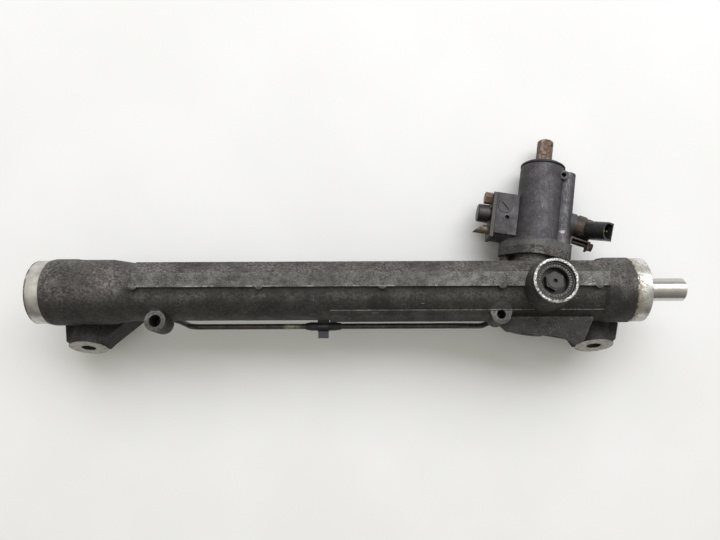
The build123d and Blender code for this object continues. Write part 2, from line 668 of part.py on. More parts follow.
# ---------------------------------------------------------------- pinion
def tooth_flank():
    """Points (radius, half angle) of one flank of the pinion, from root to tip."""
    pressure = math.atan(math.tan(math.radians(PRESSURE_ANGLE)) / math.cos(HELIX))
    base = PITCH_RADIUS * math.cos(pressure)
    thickness = math.pi * TRANSVERSE_MODULE / 2
    thickness += 2 * PROFILE_SHIFT * NORMAL_MODULE * math.tan(pressure)
    half = thickness / (2 * PITCH_RADIUS) + math.tan(pressure) - pressure
    points = [(ROOT_RADIUS, half)]
    steps = 3
    for step in range(steps + 1):
        radius = base + (TIP_RADIUS - base) * step / steps
        angle = math.acos(min(1, base / radius))
        points.append((radius, half - math.tan(angle) + angle))
    return points


def pinion_section():
    """The transverse section of the pinion at the mesh, a tooth pointing at the rack."""
    flank = tooth_flank()
    corners = []
    for tooth in range(TOOTH_COUNT):
        middle = -math.pi / 2 + 2 * math.pi * tooth / TOOTH_COUNT
        rising = [(radius, middle - half) for radius, half in flank]
        falling = [(radius, middle + half) for radius, half in reversed(flank)]
        corners += rising + falling
    points = [(radius * math.cos(angle), radius * math.sin(angle)) for radius, angle in corners]
    return make_face(Polyline(*points, close=True).edges())


def pinion_teeth():
    """The helical teeth, twisted about the pinion axis."""
    start = -PINION_FACE / 2
    section = Pos(0, 0, start) * Rot(0, 0, TWIST_PER_MM * start) * pinion_section()
    twist = TWIST_PER_MM * PINION_FACE
    return Solid.extrude_linear_with_rotation(section.face(), (0, 0, start), (0, 0, PINION_FACE), twist)


def pinion_shaft():
    """The pinion with its journals and the head that takes the valve."""
    half = PINION_FACE / 2
    bearing_low = BEARING_TOP - BEARING_WIDTH
    journal = UPPER_JOURNAL_RADIUS - RUN
    low = turned(
        (0, PINION_BOTTOM + 1),
        (BEARING_INNER_RADIUS - 1, PINION_BOTTOM + 1),
        (BEARING_INNER_RADIUS - 1, bearing_low),
        (BEARING_INNER_RADIUS, bearing_low),
        (BEARING_INNER_RADIUS, BEARING_TOP),
        (ROOT_RADIUS, BEARING_TOP),
        (ROOT_RADIUS, -half + 0.01),
        (0, -half + 0.01),
    )
    high = turned(
        (0, half - 0.01),
        (ROOT_RADIUS, half - 0.01),
        (journal, half + 3),
        (journal, FLANGE_PLANE - 2),
        (PINION_HEAD_RADIUS, FLANGE_PLANE),
        (PINION_HEAD_RADIUS, PINION_HEAD_TOP),
        (0, PINION_HEAD_TOP),
    )
    shaft = low + pinion_teeth() + high
    stop_depth = STOP_REACH * 0.8
    swing = math.radians(STOP_ANGLE + 0.4)
    reach = STOP_REACH + 0.3
    half_slot = STOP_WIDTH / 2 * math.cos(swing) + reach * math.sin(swing)
    floor = PINION_HEAD_TOP - stop_depth
    slot = block((-reach, reach), (-half_slot, half_slot), (floor, PINION_HEAD_TOP + 1))
    shaft -= slot
    shaft -= rod(TORSION_BAR_RADIUS + SEAT, FLANGE_PLANE - 15, 30)
    return placed(PINION_LINE, shaft)


def lower_bearing():
    """Outer race, inner race, cage and rollers of the bearing under the pinion."""
    low = BEARING_TOP - BEARING_WIDTH
    pitch = (BEARING_OUTER_RADIUS + BEARING_INNER_RADIUS) / 2
    outer = ring(BEARING_OUTER_RADIUS - SEAT, pitch + ROLLER_RADIUS + RUN, low, BEARING_WIDTH)
    inner = ring(pitch - ROLLER_RADIUS - RUN, BEARING_INNER_RADIUS + SEAT, low, BEARING_WIDTH)
    cage = ring(pitch + 1.2, pitch - 1.2, low + 0.6, BEARING_WIDTH - 1.2)
    rollers = []
    for number in range(ROLLER_COUNT):
        spot = Rot(0, 0, 360 * number / ROLLER_COUNT) * Pos(pitch, 0, 0)
        cage -= spot * rod(ROLLER_RADIUS + RUN, low + 1.5, BEARING_WIDTH - 3)
        rollers.append(placed(PINION_LINE, spot * rod(ROLLER_RADIUS, low + 1.6, BEARING_WIDTH - 3.2)))
    races = [placed(PINION_LINE, piece) for piece in (outer, inner, cage)]
    return (*races, group(rollers))


def pinion_lock_nut():
    low = BEARING_TOP - BEARING_WIDTH - NUT_LENGTH
    outer = extrude(Pos(0, 0, low) * RegularPolygon(9.5, 6), amount=NUT_LENGTH - SEAT)
    return placed(PINION_LINE, outer - rod(BEARING_INNER_RADIUS - 1 + SEAT, low - 1, NUT_LENGTH + 2))


def pinion_end_cap():
    """The screwed cap that closes the tower below the pinion."""
    low = PINION_BOTTOM - CAP_LENGTH
    rim = CAP_RADIUS - SEAT
    outline = [(0, low + 2.5), (9, low + 2.5), (9, low), (rim - 0.8, low), (rim, low + 0.8)]
    outline += [(rim, PINION_BOTTOM - SEAT), (13, PINION_BOTTOM - SEAT), (13, PINION_BOTTOM - 2)]
    outline += [(0, PINION_BOTTOM - 2)]
    return placed(PINION_LINE, turned(*outline))


def upper_pinion_bush():
    outer = BEARING_OUTER_RADIUS - SEAT
    return placed(PINION_LINE, ring(outer, UPPER_JOURNAL_RADIUS, UPPER_BUSH_BOTTOM, UPPER_BUSH_LENGTH))


def pinion_seal():
    start = UPPER_BUSH_BOTTOM + UPPER_BUSH_LENGTH + 1
    seal = lip_seal(BEARING_OUTER_RADIUS - SEAT, UPPER_JOURNAL_RADIUS, start, PINION_SEAL_LENGTH)
    return placed(PINION_LINE, seal)


# ---------------------------------------------------------------- control valve
def valve_housing():
    """The cast valve housing with its port block, column, ear and solenoid boss."""
    top = VALVE_HOUSING_TOP
    body = rod(VALVE_HOUSING_RADIUS, FLANGE_PLANE, top - FLANGE_PLANE)
    body += Pos(0, 0, FLANGE_PLANE) * extrude(flange_outline(), amount=FLANGE_THICKNESS)
    body += Pos(COLUMN_X, COLUMN_Y, 0) * rod(COLUMN_RADIUS, FLANGE_PLANE, COLUMN_TOP - FLANGE_PLANE)
    left_lobe = flange_bolt_place(-1)
    body += Pos(*left_lobe, 0) * rod(FLANGE_LOBE_RADIUS, FLANGE_PLANE, 20)
    inside = -BLOCK_REACH + PLATE_THICKNESS
    body += block((inside, -8), (BLOCK_FRONT, BLOCK_BACK), (BLOCK_BOTTOM, BLOCK_TOP))
    boss = rod(RETURN_BOSS_RADIUS, -BLOCK_REACH + 8, -PLATE_THICKNESS + BLOCK_REACH - 8)
    body += placed_in_block(RETURN_PORT_HEIGHT, boss)
    ear = Plane(origin=(EAR_X, EAR_FRONT, EAR_HEIGHT), x_dir=(1, 0, 0), z_dir=(0, 1, 0))
    body += placed(ear, rod(EAR_RADIUS, 0, 14))
    for x in (LONG_PORT_X, SHORT_PORT_X):
        top_of_port = VALVE_PORT_HEIGHT + VALVE_PORT_BLOCK
        body += block((x - 7, x + 7), (18, VALVE_PORT_Y), (VALVE_PORT_HEIGHT, top_of_port))
        body += Pos(x, VALVE_PORT_Y, 0) * rod(7, VALVE_PORT_HEIGHT, VALVE_PORT_BLOCK)
    body = placed(PINION_LINE, body)
    socket = rod(SOLENOID_RADIUS + 1, -22, 22)
    socket += Pos(0, -SOLENOID_SCREW_OFFSET, 0) * rod(5.5, -18, 18)
    body += placed(solenoid_frame(), socket)
    return body - valve_housing_cuts()


def placed_in_block(height, shape):
    """Move a shape from a block port's frame into the pinion frame."""
    frame = Plane(origin=(-BLOCK_REACH, PORT_DEPTH_Y, height), x_dir=(0, 0, 1), z_dir=(-1, 0, 0))
    return placed(frame, shape)


def valve_housing_cuts():
    top = VALVE_HOUSING_TOP
    cuts = rod(VALVE_BORE_RADIUS, FLANGE_PLANE - 1, VALVE_SLEEVE_TOP + 3 - FLANGE_PLANE)
    cuts += rod(INPUT_SEAT_RADIUS, VALVE_SLEEVE_TOP, top - VALVE_SLEEVE_TOP)
    cuts += rod(INPUT_SEAT_RADIUS + 1, INPUT_RING_HEIGHT, INPUT_RING_WIDTH)
    cuts += rod(DUST_CAP_RADIUS - 2, top - 4, 5)
    for side in (1, -1):
        spot = Pos(*flange_bolt_place(side), 0)
        cuts += spot * rod(FLANGE_BOLT_RADIUS, FLANGE_PLANE - 1, FLANGE_BOLT_GRIP + 2)
    cuts += placed(
        Plane(origin=(EAR_X, EAR_FRONT, EAR_HEIGHT), x_dir=(1, 0, 0), z_dir=(0, 1, 0)),
        rod(EAR_BORE_RADIUS, -1, 9),
    )
    front = Plane(origin=(PLUG_DISC_X, BLOCK_FRONT, PLUG_DISC_HEIGHT), x_dir=(1, 0, 0), z_dir=(0, 1, 0))
    cuts += placed(front, rod(PLUG_DISC_RADIUS + SEAT, -1, 5))
    cuts += placed(front, Pos(3.4, 12.4, 0) * rod(GAUGE_HOLE_RADIUS, -1, 6))
    for height in (PRESSURE_PORT_HEIGHT, RETURN_PORT_HEIGHT):
        cuts += placed_in_block(height, rod(PORT_BORE_RADIUS, -PORT_BORE_DEPTH, PORT_BORE_DEPTH + 1))
        cuts += placed_in_block(height, rod(2.5, -BLOCK_REACH + 4, BLOCK_REACH))
    cuts += placed_in_block(PORT_BOLT_HEIGHT, rod(FLANGE_BOLT_RADIUS, -22, 23))
    for x in (LONG_PORT_X, SHORT_PORT_X):
        cuts += Pos(x, VALVE_PORT_Y, 0) * rod(PIPE_RADIUS + SEAT, VALVE_PORT_HEIGHT - 1, 7)
        cuts += Pos(x, VALVE_PORT_Y, 0) * rod(2, VALVE_PORT_HEIGHT, 11)
        cuts += Pos(x, VALVE_PORT_Y, 0) * rod(8.2, FLANGE_PLANE - 1, VALVE_PORT_HEIGHT - FLANGE_PLANE + 1)
        cross = Plane(origin=(x, 0, VALVE_PORT_HEIGHT + 9), x_dir=(1, 0, 0), z_dir=(0, 1, 0))
        cuts += placed(cross, rod(2, 10, VALVE_PORT_Y - 10))
    cuts = placed(PINION_LINE, cuts)
    seat = rod(GUIDE_RADIUS + SEAT, -GUIDE_LENGTH, GUIDE_LENGTH + 1) + rod(NEEDLE_RADIUS + 0.9, -30, 31)
    seat += rod(GUIDE_RADIUS + 2 + SEAT, -0.95, 2) + rod(SOLENOID_RADIUS + 1.5, 0, 30)
    seat += Pos(0, -SOLENOID_SCREW_OFFSET, 0) * rod(SOLENOID_SCREW_RADIUS, -13, 14)
    seat += block((-7, 7), (-SOLENOID_SCREW_OFFSET - 7, 0), (0, 10))
    cuts += placed(solenoid_frame(), seat)
    return cuts


def valve_housing_gasket():
    """The thin seal ring sunk in the joint under the valve housing."""
    outer = VALVE_BORE_RADIUS - SEAT
    return placed(PINION_LINE, ring(outer, outer - 2.4, FLANGE_PLANE + 0.2, 2.4))


def cap_screw(head_radius, head_height, shank_radius, shank_length, socket_radius):
    """A screw whose head sits on Z = 0 and whose shank points down."""
    screw = rod(head_radius, 0, head_height) + rod(shank_radius, -shank_length, shank_length + 0.1)
    recess = extrude(Pos(0, 0, head_height - 3) * RegularPolygon(socket_radius, 6), amount=4)
    return screw - recess


def hex_bolt(across_corners, head_height, shank_radius, shank_length):
    head = extrude(RegularPolygon(across_corners / 2, 6, rotation=30), amount=head_height)
    return head + rod(shank_radius, -shank_length, shank_length + 0.1)


def valve_housing_bolts():
    """The two screws that come up through the flange into the valve housing."""
    neck = FLANGE_PLANE - FLANGE_THICKNESS
    bolts = []
    for side in (1, -1):
        x, y = flange_bolt_place(side)
        frame = Plane(origin=(x, y, neck), x_dir=(1, 0, 0), z_dir=(0, 0, -1))
        shank = FLANGE_THICKNESS + FLANGE_BOLT_GRIP
        screw = cap_screw(FLANGE_BOLT_HEAD_RADIUS, 7, FLANGE_BOLT_RADIUS - SEAT, shank, 3.2)
        bolts.append(placed(PINION_LINE, placed(frame, screw)))
    return group(bolts)


def valve_sleeve():
    """The ported sleeve that is pinned over the pinion's head."""
    outer = VALVE_BORE_RADIUS - RUN
    low = PINION_HEAD_TOP - SLEEVE_SKIRT
    sleeve = ring(outer, VALVE_ROTOR_RADIUS, PINION_HEAD_TOP, VALVE_SLEEVE_TOP - PINION_HEAD_TOP)
    sleeve += ring(outer, PINION_HEAD_RADIUS + SEAT, low, SLEEVE_SKIRT)
    pitch = (VALVE_SLEEVE_TOP - PINION_HEAD_TOP) / (SLEEVE_RING_COUNT + 1)
    for number in range(1, SLEEVE_RING_COUNT + 1):
        height = PINION_HEAD_TOP + number * pitch
        sleeve -= ring(outer + 1, outer - 2, height, SLEEVE_RING_WIDTH)
    return placed(PINION_LINE, sleeve)


def sleeve_seal_rings():
    outer = VALVE_BORE_RADIUS - RUN / 2
    pitch = (VALVE_SLEEVE_TOP - PINION_HEAD_TOP) / (SLEEVE_RING_COUNT + 1)
    rings = []
    for number in range(1, SLEEVE_RING_COUNT + 1):
        height = PINION_HEAD_TOP + number * pitch + SEAT
        seal = ring(outer, VALVE_BORE_RADIUS - RUN - 2 + SEAT, height, SLEEVE_RING_WIDTH - 2 * SEAT)
        rings.append(placed(PINION_LINE, seal))
    return group(rings)


def input_shaft():
    """The input shaft: a valve rotor below, a clamped end with one flat above."""
    rotor = VALVE_ROTOR_RADIUS - RUN
    outline = [(0, PINION_HEAD_TOP + 0.3), (rotor, PINION_HEAD_TOP + 0.3), (rotor, VALVE_SLEEVE_TOP + 1)]
    outline += [(INPUT_JOURNAL_RADIUS, VALVE_SLEEVE_TOP + 1), (INPUT_JOURNAL_RADIUS, INPUT_FLAT_HEIGHT)]
    outline += [(INPUT_SHAFT_RADIUS, INPUT_FLAT_HEIGHT), (INPUT_SHAFT_RADIUS, INPUT_SHAFT_TOP - 1.5)]
    outline += [(INPUT_SHAFT_RADIUS - 1.5, INPUT_SHAFT_TOP), (0, INPUT_SHAFT_TOP)]
    shaft = turned(*outline)
    tongue_low = PINION_HEAD_TOP - STOP_REACH * 0.8 + 0.3
    half = STOP_WIDTH / 2
    shaft += block((-STOP_REACH, STOP_REACH), (-half, half), (tongue_low, PINION_HEAD_TOP + 0.5))
    shaft -= rod(TORSION_BAR_RADIUS + 0.6, tongue_low - 1, INPUT_PIN_HEIGHT - 8 - tongue_low)
    shaft -= rod(TORSION_BAR_RADIUS + SEAT, INPUT_PIN_HEIGHT - 10, 14.5)
    flat_depth = math.sqrt(INPUT_SHAFT_RADIUS**2 - (INPUT_FLAT_WIDTH / 2) ** 2)
    flat = block((-20, 20), (-20, -flat_depth), (INPUT_FLAT_HEIGHT, INPUT_SHAFT_TOP + 1))
    shaft -= Rot(0, 0, -INPUT_FLAT_TURN) * flat
    shaft -= input_pin_line() * rod(INPUT_PIN_RADIUS + SEAT, -20, 40)
    return placed(PINION_LINE, shaft)


def input_pin_line():
    """Where the cross pin lies, in the pinion frame, with its axis along Z."""
    return Pos(0, 0, INPUT_PIN_HEIGHT) * Rot(0, 0, INPUT_PIN_TURN) * Rot(0, 90, 0)


def torsion_bar():
    bar = rod(TORSION_BAR_RADIUS, FLANGE_PLANE - 14, INPUT_PIN_HEIGHT + 4 - FLANGE_PLANE + 14)
    bar -= input_pin_line() * rod(INPUT_PIN_RADIUS + SEAT, -20, 40)
    return placed(PINION_LINE, bar)


def torsion_pin():
    half = INPUT_SHAFT_RADIUS - 1.2
    return placed(PINION_LINE, input_pin_line() * rod(INPUT_PIN_RADIUS, -half, 2 * half))


def input_bearing():
    """The needle bearing that guides the input shaft, as one drawn cup."""
    outer = INPUT_SEAT_RADIUS - SEAT
    return placed(PINION_LINE, ring(outer, INPUT_JOURNAL_RADIUS + RUN, VALVE_SLEEVE_TOP + 4, 10))


def input_shaft_seal():
    start = VALVE_SLEEVE_TOP + 15
    seal = lip_seal(INPUT_SEAT_RADIUS - SEAT, INPUT_JOURNAL_RADIUS + RUN, start, 6)
    return placed(PINION_LINE, seal)


def input_retaining_ring():
    outer = INPUT_SEAT_RADIUS + 1 - SEAT
    clip = ring(outer, INPUT_SEAT_RADIUS - 2.5, INPUT_RING_HEIGHT + SEAT, INPUT_RING_WIDTH - 2 * SEAT)
    clip -= block((0, 2 * outer), (-3, 3), (INPUT_RING_HEIGHT, INPUT_RING_HEIGHT + 3))
    return placed(PINION_LINE, clip)


def dust_cap():
    """The moulded cap round the input shaft, plugged into the valve housing."""
    top = VALVE_HOUSING_TOP + DUST_CAP_HEIGHT
    spigot = DUST_CAP_RADIUS - 2 - SEAT
    bore = INPUT_JOURNAL_RADIUS + 0.3
    outline = [(bore, top), (bore, VALVE_HOUSING_TOP - 3), (bore + 2, VALVE_HOUSING_TOP - 3)]
    outline += [(bore + 2, VALVE_HOUSING_TOP + 1), (spigot - 2, VALVE_HOUSING_TOP + 1)]
    outline += [(spigot - 2, VALVE_HOUSING_TOP - 3.5), (spigot, VALVE_HOUSING_TOP - 3.5)]
    outline += [(spigot, VALVE_HOUSING_TOP + 1.2), (DUST_CAP_RADIUS, VALVE_HOUSING_TOP + 1.2)]
    outline += [(DUST_CAP_RADIUS, top - 2), (DUST_CAP_RADIUS - 3, top)]
    return placed(PINION_LINE, turned(*outline))


# ---------------------------------------------------------------- yoke
def yoke():
    """The pressure piece that holds the bar against the pinion."""
    body = rod(YOKE_RADIUS - RUN, YOKE_LOW, YOKE_TOP - YOKE_LOW)
    for height in yoke_ring_heights():
        body -= ring(YOKE_RADIUS + 1, YOKE_RADIUS - 2, height, O_RING_WIDTH)
    body -= rod(YOKE_SPRING_RADIUS + 0.4, YOKE_TOP - YOKE_SPRING_POCKET, YOKE_SPRING_POCKET + 1)
    body = placed(YOKE_LINE, body)
    return body - placed(RACK_LINE, rod(BAR_RADIUS + YOKE_LINER, YOKE_X - 30, 60))


def yoke_ring_heights():
    return YOKE_TOP - 4.5, YOKE_TOP - 10.5


def yoke_liner():
    """The low-friction foil between the yoke and the bar."""
    start = YOKE_X - YOKE_RADIUS + 3
    shell = ring(BAR_RADIUS + YOKE_LINER - SEAT, BAR_RADIUS + RUN, start, 2 * YOKE_RADIUS - 6)
    shell = placed(RACK_LINE, shell)
    return shell & block((YOKE_X - 30, YOKE_X + 30), (-9.5, 9.5), (0, 30))


def yoke_o_rings():
    rings = []
    for height in yoke_ring_heights():
        seal = ring(YOKE_RADIUS - RUN / 2, YOKE_RADIUS - 2 + SEAT, height + SEAT, O_RING_WIDTH - 2 * SEAT)
        rings.append(placed(YOKE_LINE, seal))
    return group(rings)


def coil(outer_radius, wire, bottom, height, turns):
    """A round coil spring of the given overall size, its wire drawn with flats."""
    path = Helix(pitch=(height - wire) / turns, height=height - wire, radius=outer_radius - wire / 2)
    section = Plane(origin=path @ 0, z_dir=path % 0) * RegularPolygon(wire / 2, 6)
    return Pos(0, 0, bottom + wire / 2) * sweep(section, path=path, is_frenet=True)


def yoke_spring():
    """The coil spring between the yoke and the adjuster plug."""
    start = YOKE_TOP - YOKE_SPRING_POCKET + SEAT
    height = PLUG_BOTTOM - start - SEAT
    return placed(YOKE_LINE, coil(YOKE_SPRING_RADIUS, YOKE_SPRING_WIRE, start, height, 2.5))


def adjuster_plug():
    """The screwed plug over the yoke, with a hexagon boss in a round recess."""
    outline = [
        (0, PLUG_BOTTOM),
        (PLUG_RADIUS, PLUG_BOTTOM),
        (PLUG_RADIUS, PLUG_TOP - 0.8),
        (PLUG_RADIUS - 0.8, PLUG_TOP),
        (PLUG_RADIUS - 2, PLUG_TOP),
        (PLUG_RADIUS - 2.4, PLUG_TOP - 1.6),
        (PLUG_RECESS_RADIUS, PLUG_TOP - 1.6),
        (PLUG_RECESS_RADIUS, PLUG_TOP - PLUG_RECESS_DEPTH),
        (0, PLUG_TOP - PLUG_RECESS_DEPTH),
    ]
    plug = turned(*outline)
    hexagon = RegularPolygon(PLUG_HEX_RADIUS, 6, rotation=30)
    plug += extrude(Pos(0, 0, PLUG_TOP - PLUG_RECESS_DEPTH - 0.5) * hexagon, amount=PLUG_RECESS_DEPTH - 1.5)
    plug += rod(7.2, PLUG_TOP - 3, 2)
    plug -= rod(2.1, PLUG_TOP - 5, 6)
    return placed(YOKE_LINE, plug)


# ---------------------------------------------------------------- port block
def port_plate():
    """The plate that holds both hose ends in the port block."""
    inside = -BLOCK_REACH + PLATE_THICKNESS - SEAT
    low = RETURN_PORT_HEIGHT - FITTING_RADIUS
    plate = block((-BLOCK_REACH, inside), (BLOCK_FRONT + 0.5, BLOCK_BACK), (low, BLOCK_TOP))
    for height in (PRESSURE_PORT_HEIGHT, RETURN_PORT_HEIGHT):
        plate -= placed_in_block(height, rod(PORT_BORE_RADIUS - 1 + SEAT, -PLATE_THICKNESS - 1, 8))
    plate -= placed_in_block(PORT_BOLT_HEIGHT, rod(FLANGE_BOLT_RADIUS + 0.3, -PLATE_THICKNESS - 1, 8))
    return placed(PINION_LINE, plate)


def port_plate_bolt():
    bolt = hex_bolt(13.8, 8.0, FLANGE_BOLT_RADIUS - SEAT, 22)
    return placed(PINION_LINE, placed_in_block(PORT_BOLT_HEIGHT, bolt))


def pressure_fitting():
    """The capped pressure port, a stepped round fitting."""
    outline = [(0, -PORT_BORE_DEPTH + 1), (PORT_BORE_RADIUS - 1, -PORT_BORE_DEPTH + 1)]
    outline += [(PORT_BORE_RADIUS - 1, 0), (FITTING_RADIUS - 2.5, 0), (FITTING_RADIUS - 2.5, 2)]
    outline += [(FITTING_RADIUS, 2), (FITTING_RADIUS, FITTING_LENGTH - 1)]
    outline += [(FITTING_RADIUS - 1, FITTING_LENGTH), (0, FITTING_LENGTH)]
    return placed(PINION_LINE, placed_in_block(PRESSURE_PORT_HEIGHT, turned(*outline)))


def return_pipe_stub():
    """The cut end of the return pipe, sheared off at a slant."""
    radius = PORT_BORE_RADIUS - 1
    stub = ring(radius, radius - 1.2, -PORT_BORE_DEPTH + 1, PORT_BORE_DEPTH + STUB_LENGTH)
    shear = Pos(0, 0, STUB_LENGTH * 0.55) * Rot(0, 48, 0) * block((-40, 40), (-40, 40), (0, 60))
    return placed(PINION_LINE, placed_in_block(RETURN_PORT_HEIGHT, stub - shear))


def port_seals():
    """The two rings that seal the hose ends in their bores."""
    seals = []
    for height in (PRESSURE_PORT_HEIGHT, RETURN_PORT_HEIGHT):
        seal = ring(PORT_BORE_RADIUS - SEAT, PORT_BORE_RADIUS - 1 + SEAT, -PORT_BORE_DEPTH + 3, 2)
        seals.append(placed(PINION_LINE, placed_in_block(height, seal)))
    return group(seals)


def port_block_plug():
    """The slotted plug in the front of the port block."""
    plug = rod(PLUG_DISC_RADIUS, -0.6, 4.4)
    plug -= Rot(0, 0, 45) * block((-5.5, 5.5), (-0.8, 0.8), (-1, 0.6))
    front = Plane(origin=(PLUG_DISC_X, BLOCK_FRONT, PLUG_DISC_HEIGHT), x_dir=(1, 0, 0), z_dir=(0, 1, 0))
    return placed(PINION_LINE, placed(front, plug))


# ---------------------------------------------------------------- solenoid
def solenoid_body():
    """The can of the solenoid with the guide tube that plugs into the valve housing."""
    stop = ARMATURE_LOW + ARMATURE_LENGTH + NEEDLE_STROKE + 0.1
    outline = [
        (ARMATURE_RADIUS + RUN, -GUIDE_LENGTH + 2),
        (NEEDLE_RADIUS + RUN, -GUIDE_LENGTH + 2),
        (NEEDLE_RADIUS + RUN, -GUIDE_LENGTH),
        (GUIDE_RADIUS, -GUIDE_LENGTH),
        (GUIDE_RADIUS, SEAT),
        (SOLENOID_RADIUS, SEAT),
        (SOLENOID_RADIUS, SOLENOID_LENGTH - 1.5),
        (SOLENOID_RADIUS - 1.5, SOLENOID_LENGTH),
        (0, SOLENOID_LENGTH),
        (0, stop),
        (ARMATURE_RADIUS + RUN, stop),
    ]
    pocket = ring(SOLENOID_RADIUS - SOLENOID_WALL, ARMATURE_RADIUS + 1.2, 2, SOLENOID_LENGTH - 5)
    return placed(solenoid_frame(), turned(*outline) - pocket)


def solenoid_coil():
    inner = ARMATURE_RADIUS + 1.2 + SEAT
    coil = ring(SOLENOID_RADIUS - SOLENOID_WALL - SEAT, inner, 2 + SEAT, SOLENOID_LENGTH - 5 - 2 * SEAT)
    return placed(solenoid_frame(), coil)


def solenoid_o_ring():
    """The ring under the solenoid's flange."""
    return placed(solenoid_frame(), ring(GUIDE_RADIUS + 2, GUIDE_RADIUS + 2 * SEAT, -0.9, 0.9))


def valve_needle():
    """The solenoid's armature and the needle that it drives."""
    outline = [(0, -GUIDE_LENGTH - 3), (NEEDLE_RADIUS * 0.3, -GUIDE_LENGTH - 3)]
    outline += [(NEEDLE_RADIUS, -GUIDE_LENGTH)]
    outline += [(NEEDLE_RADIUS, ARMATURE_LOW), (ARMATURE_RADIUS, ARMATURE_LOW)]
    outline += [(ARMATURE_RADIUS, ARMATURE_LOW + ARMATURE_LENGTH), (0, ARMATURE_LOW + ARMATURE_LENGTH)]
    return placed(solenoid_frame(), turned(*outline))


def needle_spring():
    """The coil spring that returns the needle."""
    start = -GUIDE_LENGTH + 2 + SEAT
    height = ARMATURE_LOW - start - SEAT
    return placed(solenoid_frame(), coil(ARMATURE_RADIUS - 0.4, 1.2, start, height, 3))


def connector_frame():
    """Frame of the plug connector: origin at the back of its body, Z out of its mouth."""
    outward = Vector(*CONNECTOR_DIRECTION).rotate(Axis.X, LIE_ANGLE)
    origin = solenoid_frame().from_local_coords(Vector(0, 0, SOLENOID_LENGTH - CONNECTOR_SETBACK))
    return Plane(origin=origin, x_dir=outward.cross(Vector(0, 1, 0)), z_dir=outward)


def connector_outline(inset):
    """The D-shaped section of the connector, drawn in by an inset."""
    half = CONNECTOR_WIDTH / 2 - inset
    flat = Pos(-half / 2, 0) * Rectangle(half, 2 * half)
    return flat + Circle(half)


def solenoid_connector():
    """The moulded socket on the end of the solenoid."""
    body = extrude(connector_outline(0), amount=CONNECTOR_LENGTH)
    mouth = CONNECTOR_LENGTH - CONNECTOR_DEPTH
    body -= Pos(0, 0, mouth) * extrude(connector_outline(CONNECTOR_WALL), amount=CONNECTOR_DEPTH + 1)
    for x, y in connector_pin_places():
        body -= Pos(x, y, mouth - 3) * Cylinder(0.9 + SEAT, 4, align=(Align.CENTER, Align.CENTER, Align.MIN))
    body = placed(connector_frame(), body)
    return body - placed(solenoid_frame(), rod(SOLENOID_RADIUS + SEAT, -5, SOLENOID_LENGTH + 5))


def connector_pin_places():
    return [((number - (PIN_COUNT - 1) / 2) * 5.5, 0) for number in range(PIN_COUNT)]


def connector_pins():
    mouth = CONNECTOR_LENGTH - CONNECTOR_DEPTH
    pins = [Pos(x, y, 0) * rod(0.9, mouth - 2.9, 12) for x, y in connector_pin_places()]
    return group([placed(connector_frame(), pin) for pin in pins])


def solenoid_bracket():
    """The sheet bracket that straps the solenoid, held by one long screw."""
    inner = SOLENOID_RADIUS + SEAT
    reach = SOLENOID_SCREW_OFFSET + 5
    half_width = 6.0
    strap = ring(inner + 1.6, inner, 4, 9) & block((-2, 40), (-40, 40), (0, 20))
    plate = block((-half_width, half_width), (-inner - 2, -inner), (0, SOLENOID_LENGTH + 2))
    tabs = block((-half_width, half_width), (-reach, -inner), (0, 2))
    tabs += block((-half_width, half_width), (-reach, -inner), (SOLENOID_LENGTH, SOLENOID_LENGTH + 2))
    bracket = strap + plate + tabs
    bracket -= Pos(0, -SOLENOID_SCREW_OFFSET, 0) * rod(SOLENOID_SCREW_RADIUS + SEAT, -1, SOLENOID_LENGTH + 5)
    return placed(solenoid_frame(), bracket)


def solenoid_screw():
    screw = cap_screw(4.4, 4.2, SOLENOID_SCREW_RADIUS - SEAT, SOLENOID_LENGTH + 14, 2.2)
    place = Pos(0, -SOLENOID_SCREW_OFFSET, SOLENOID_LENGTH + 2)
    return placed(solenoid_frame(), place * screw)


# ---------------------------------------------------------------- pipes
def tube_along(points, radii):
    """A thin-walled tube along straight runs and tangent arcs."""
    path = FilletPolyline(*points, radius=radii)
    start = Plane(origin=path @ 0, z_dir=path % 0)
    section = Circle(PIPE_RADIUS) - Circle(PIPE_RADIUS - PIPE_WALL)
    return sweep(start * section, path=path)


def long_pipe_points():
    """Route of the pipe that serves the outer end of the cylinder."""
    port = port_frame(OUTER_PORT_X, OUTER_PORT_ANGLE)
    valve = valve_port_frame(LONG_PORT_X)
    return [
        valve.from_local_coords(Vector(0, 0, -5)),
        valve.from_local_coords(Vector(0, 0, LONG_VALVE_RUN)),
        Vector(PINION_X, 0, 0) + Vector(*LONG_PIPE_KNEE),
        Vector(PINION_X, 0, 0) + Vector(*LONG_PIPE_RISE),
        Vector(PINION_X - PIPE_RUN_GAP, PIPE_RUN_Y, PIPE_RUN_Z),
        Vector(OUTER_PORT_X + PIPE_DROP_GAP, PIPE_RUN_Y, PIPE_RUN_Z),
        Vector(OUTER_PORT_X, 0, 0) + Vector(*LONG_PIPE_DROP),
        port.from_local_coords(Vector(0, 0, OUTER_PORT_RUN)),
        port.from_local_coords(Vector(0, 0, -5)),
    ]


def short_pipe_points():
    """Route of the pipe that serves the inner end of the cylinder."""
    port = port_frame(INNER_PORT_X, INNER_PORT_ANGLE)
    valve = valve_port_frame(SHORT_PORT_X)
    return [
        valve.from_local_coords(Vector(0, 0, -5)),
        valve.from_local_coords(Vector(0, 0, SHORT_VALVE_RUN)),
        Vector(PINION_X, 0, 0) + Vector(*SHORT_PIPE_KNEE),
        port.from_local_coords(Vector(0, 0, INNER_PORT_RUN)),
        port.from_local_coords(Vector(0, 0, -5)),
    ]


def long_transfer_pipe():
    return tube_along(long_pipe_points(), LONG_PIPE_BENDS)


def short_transfer_pipe():
    return tube_along(short_pipe_points(), SHORT_PIPE_BENDS)


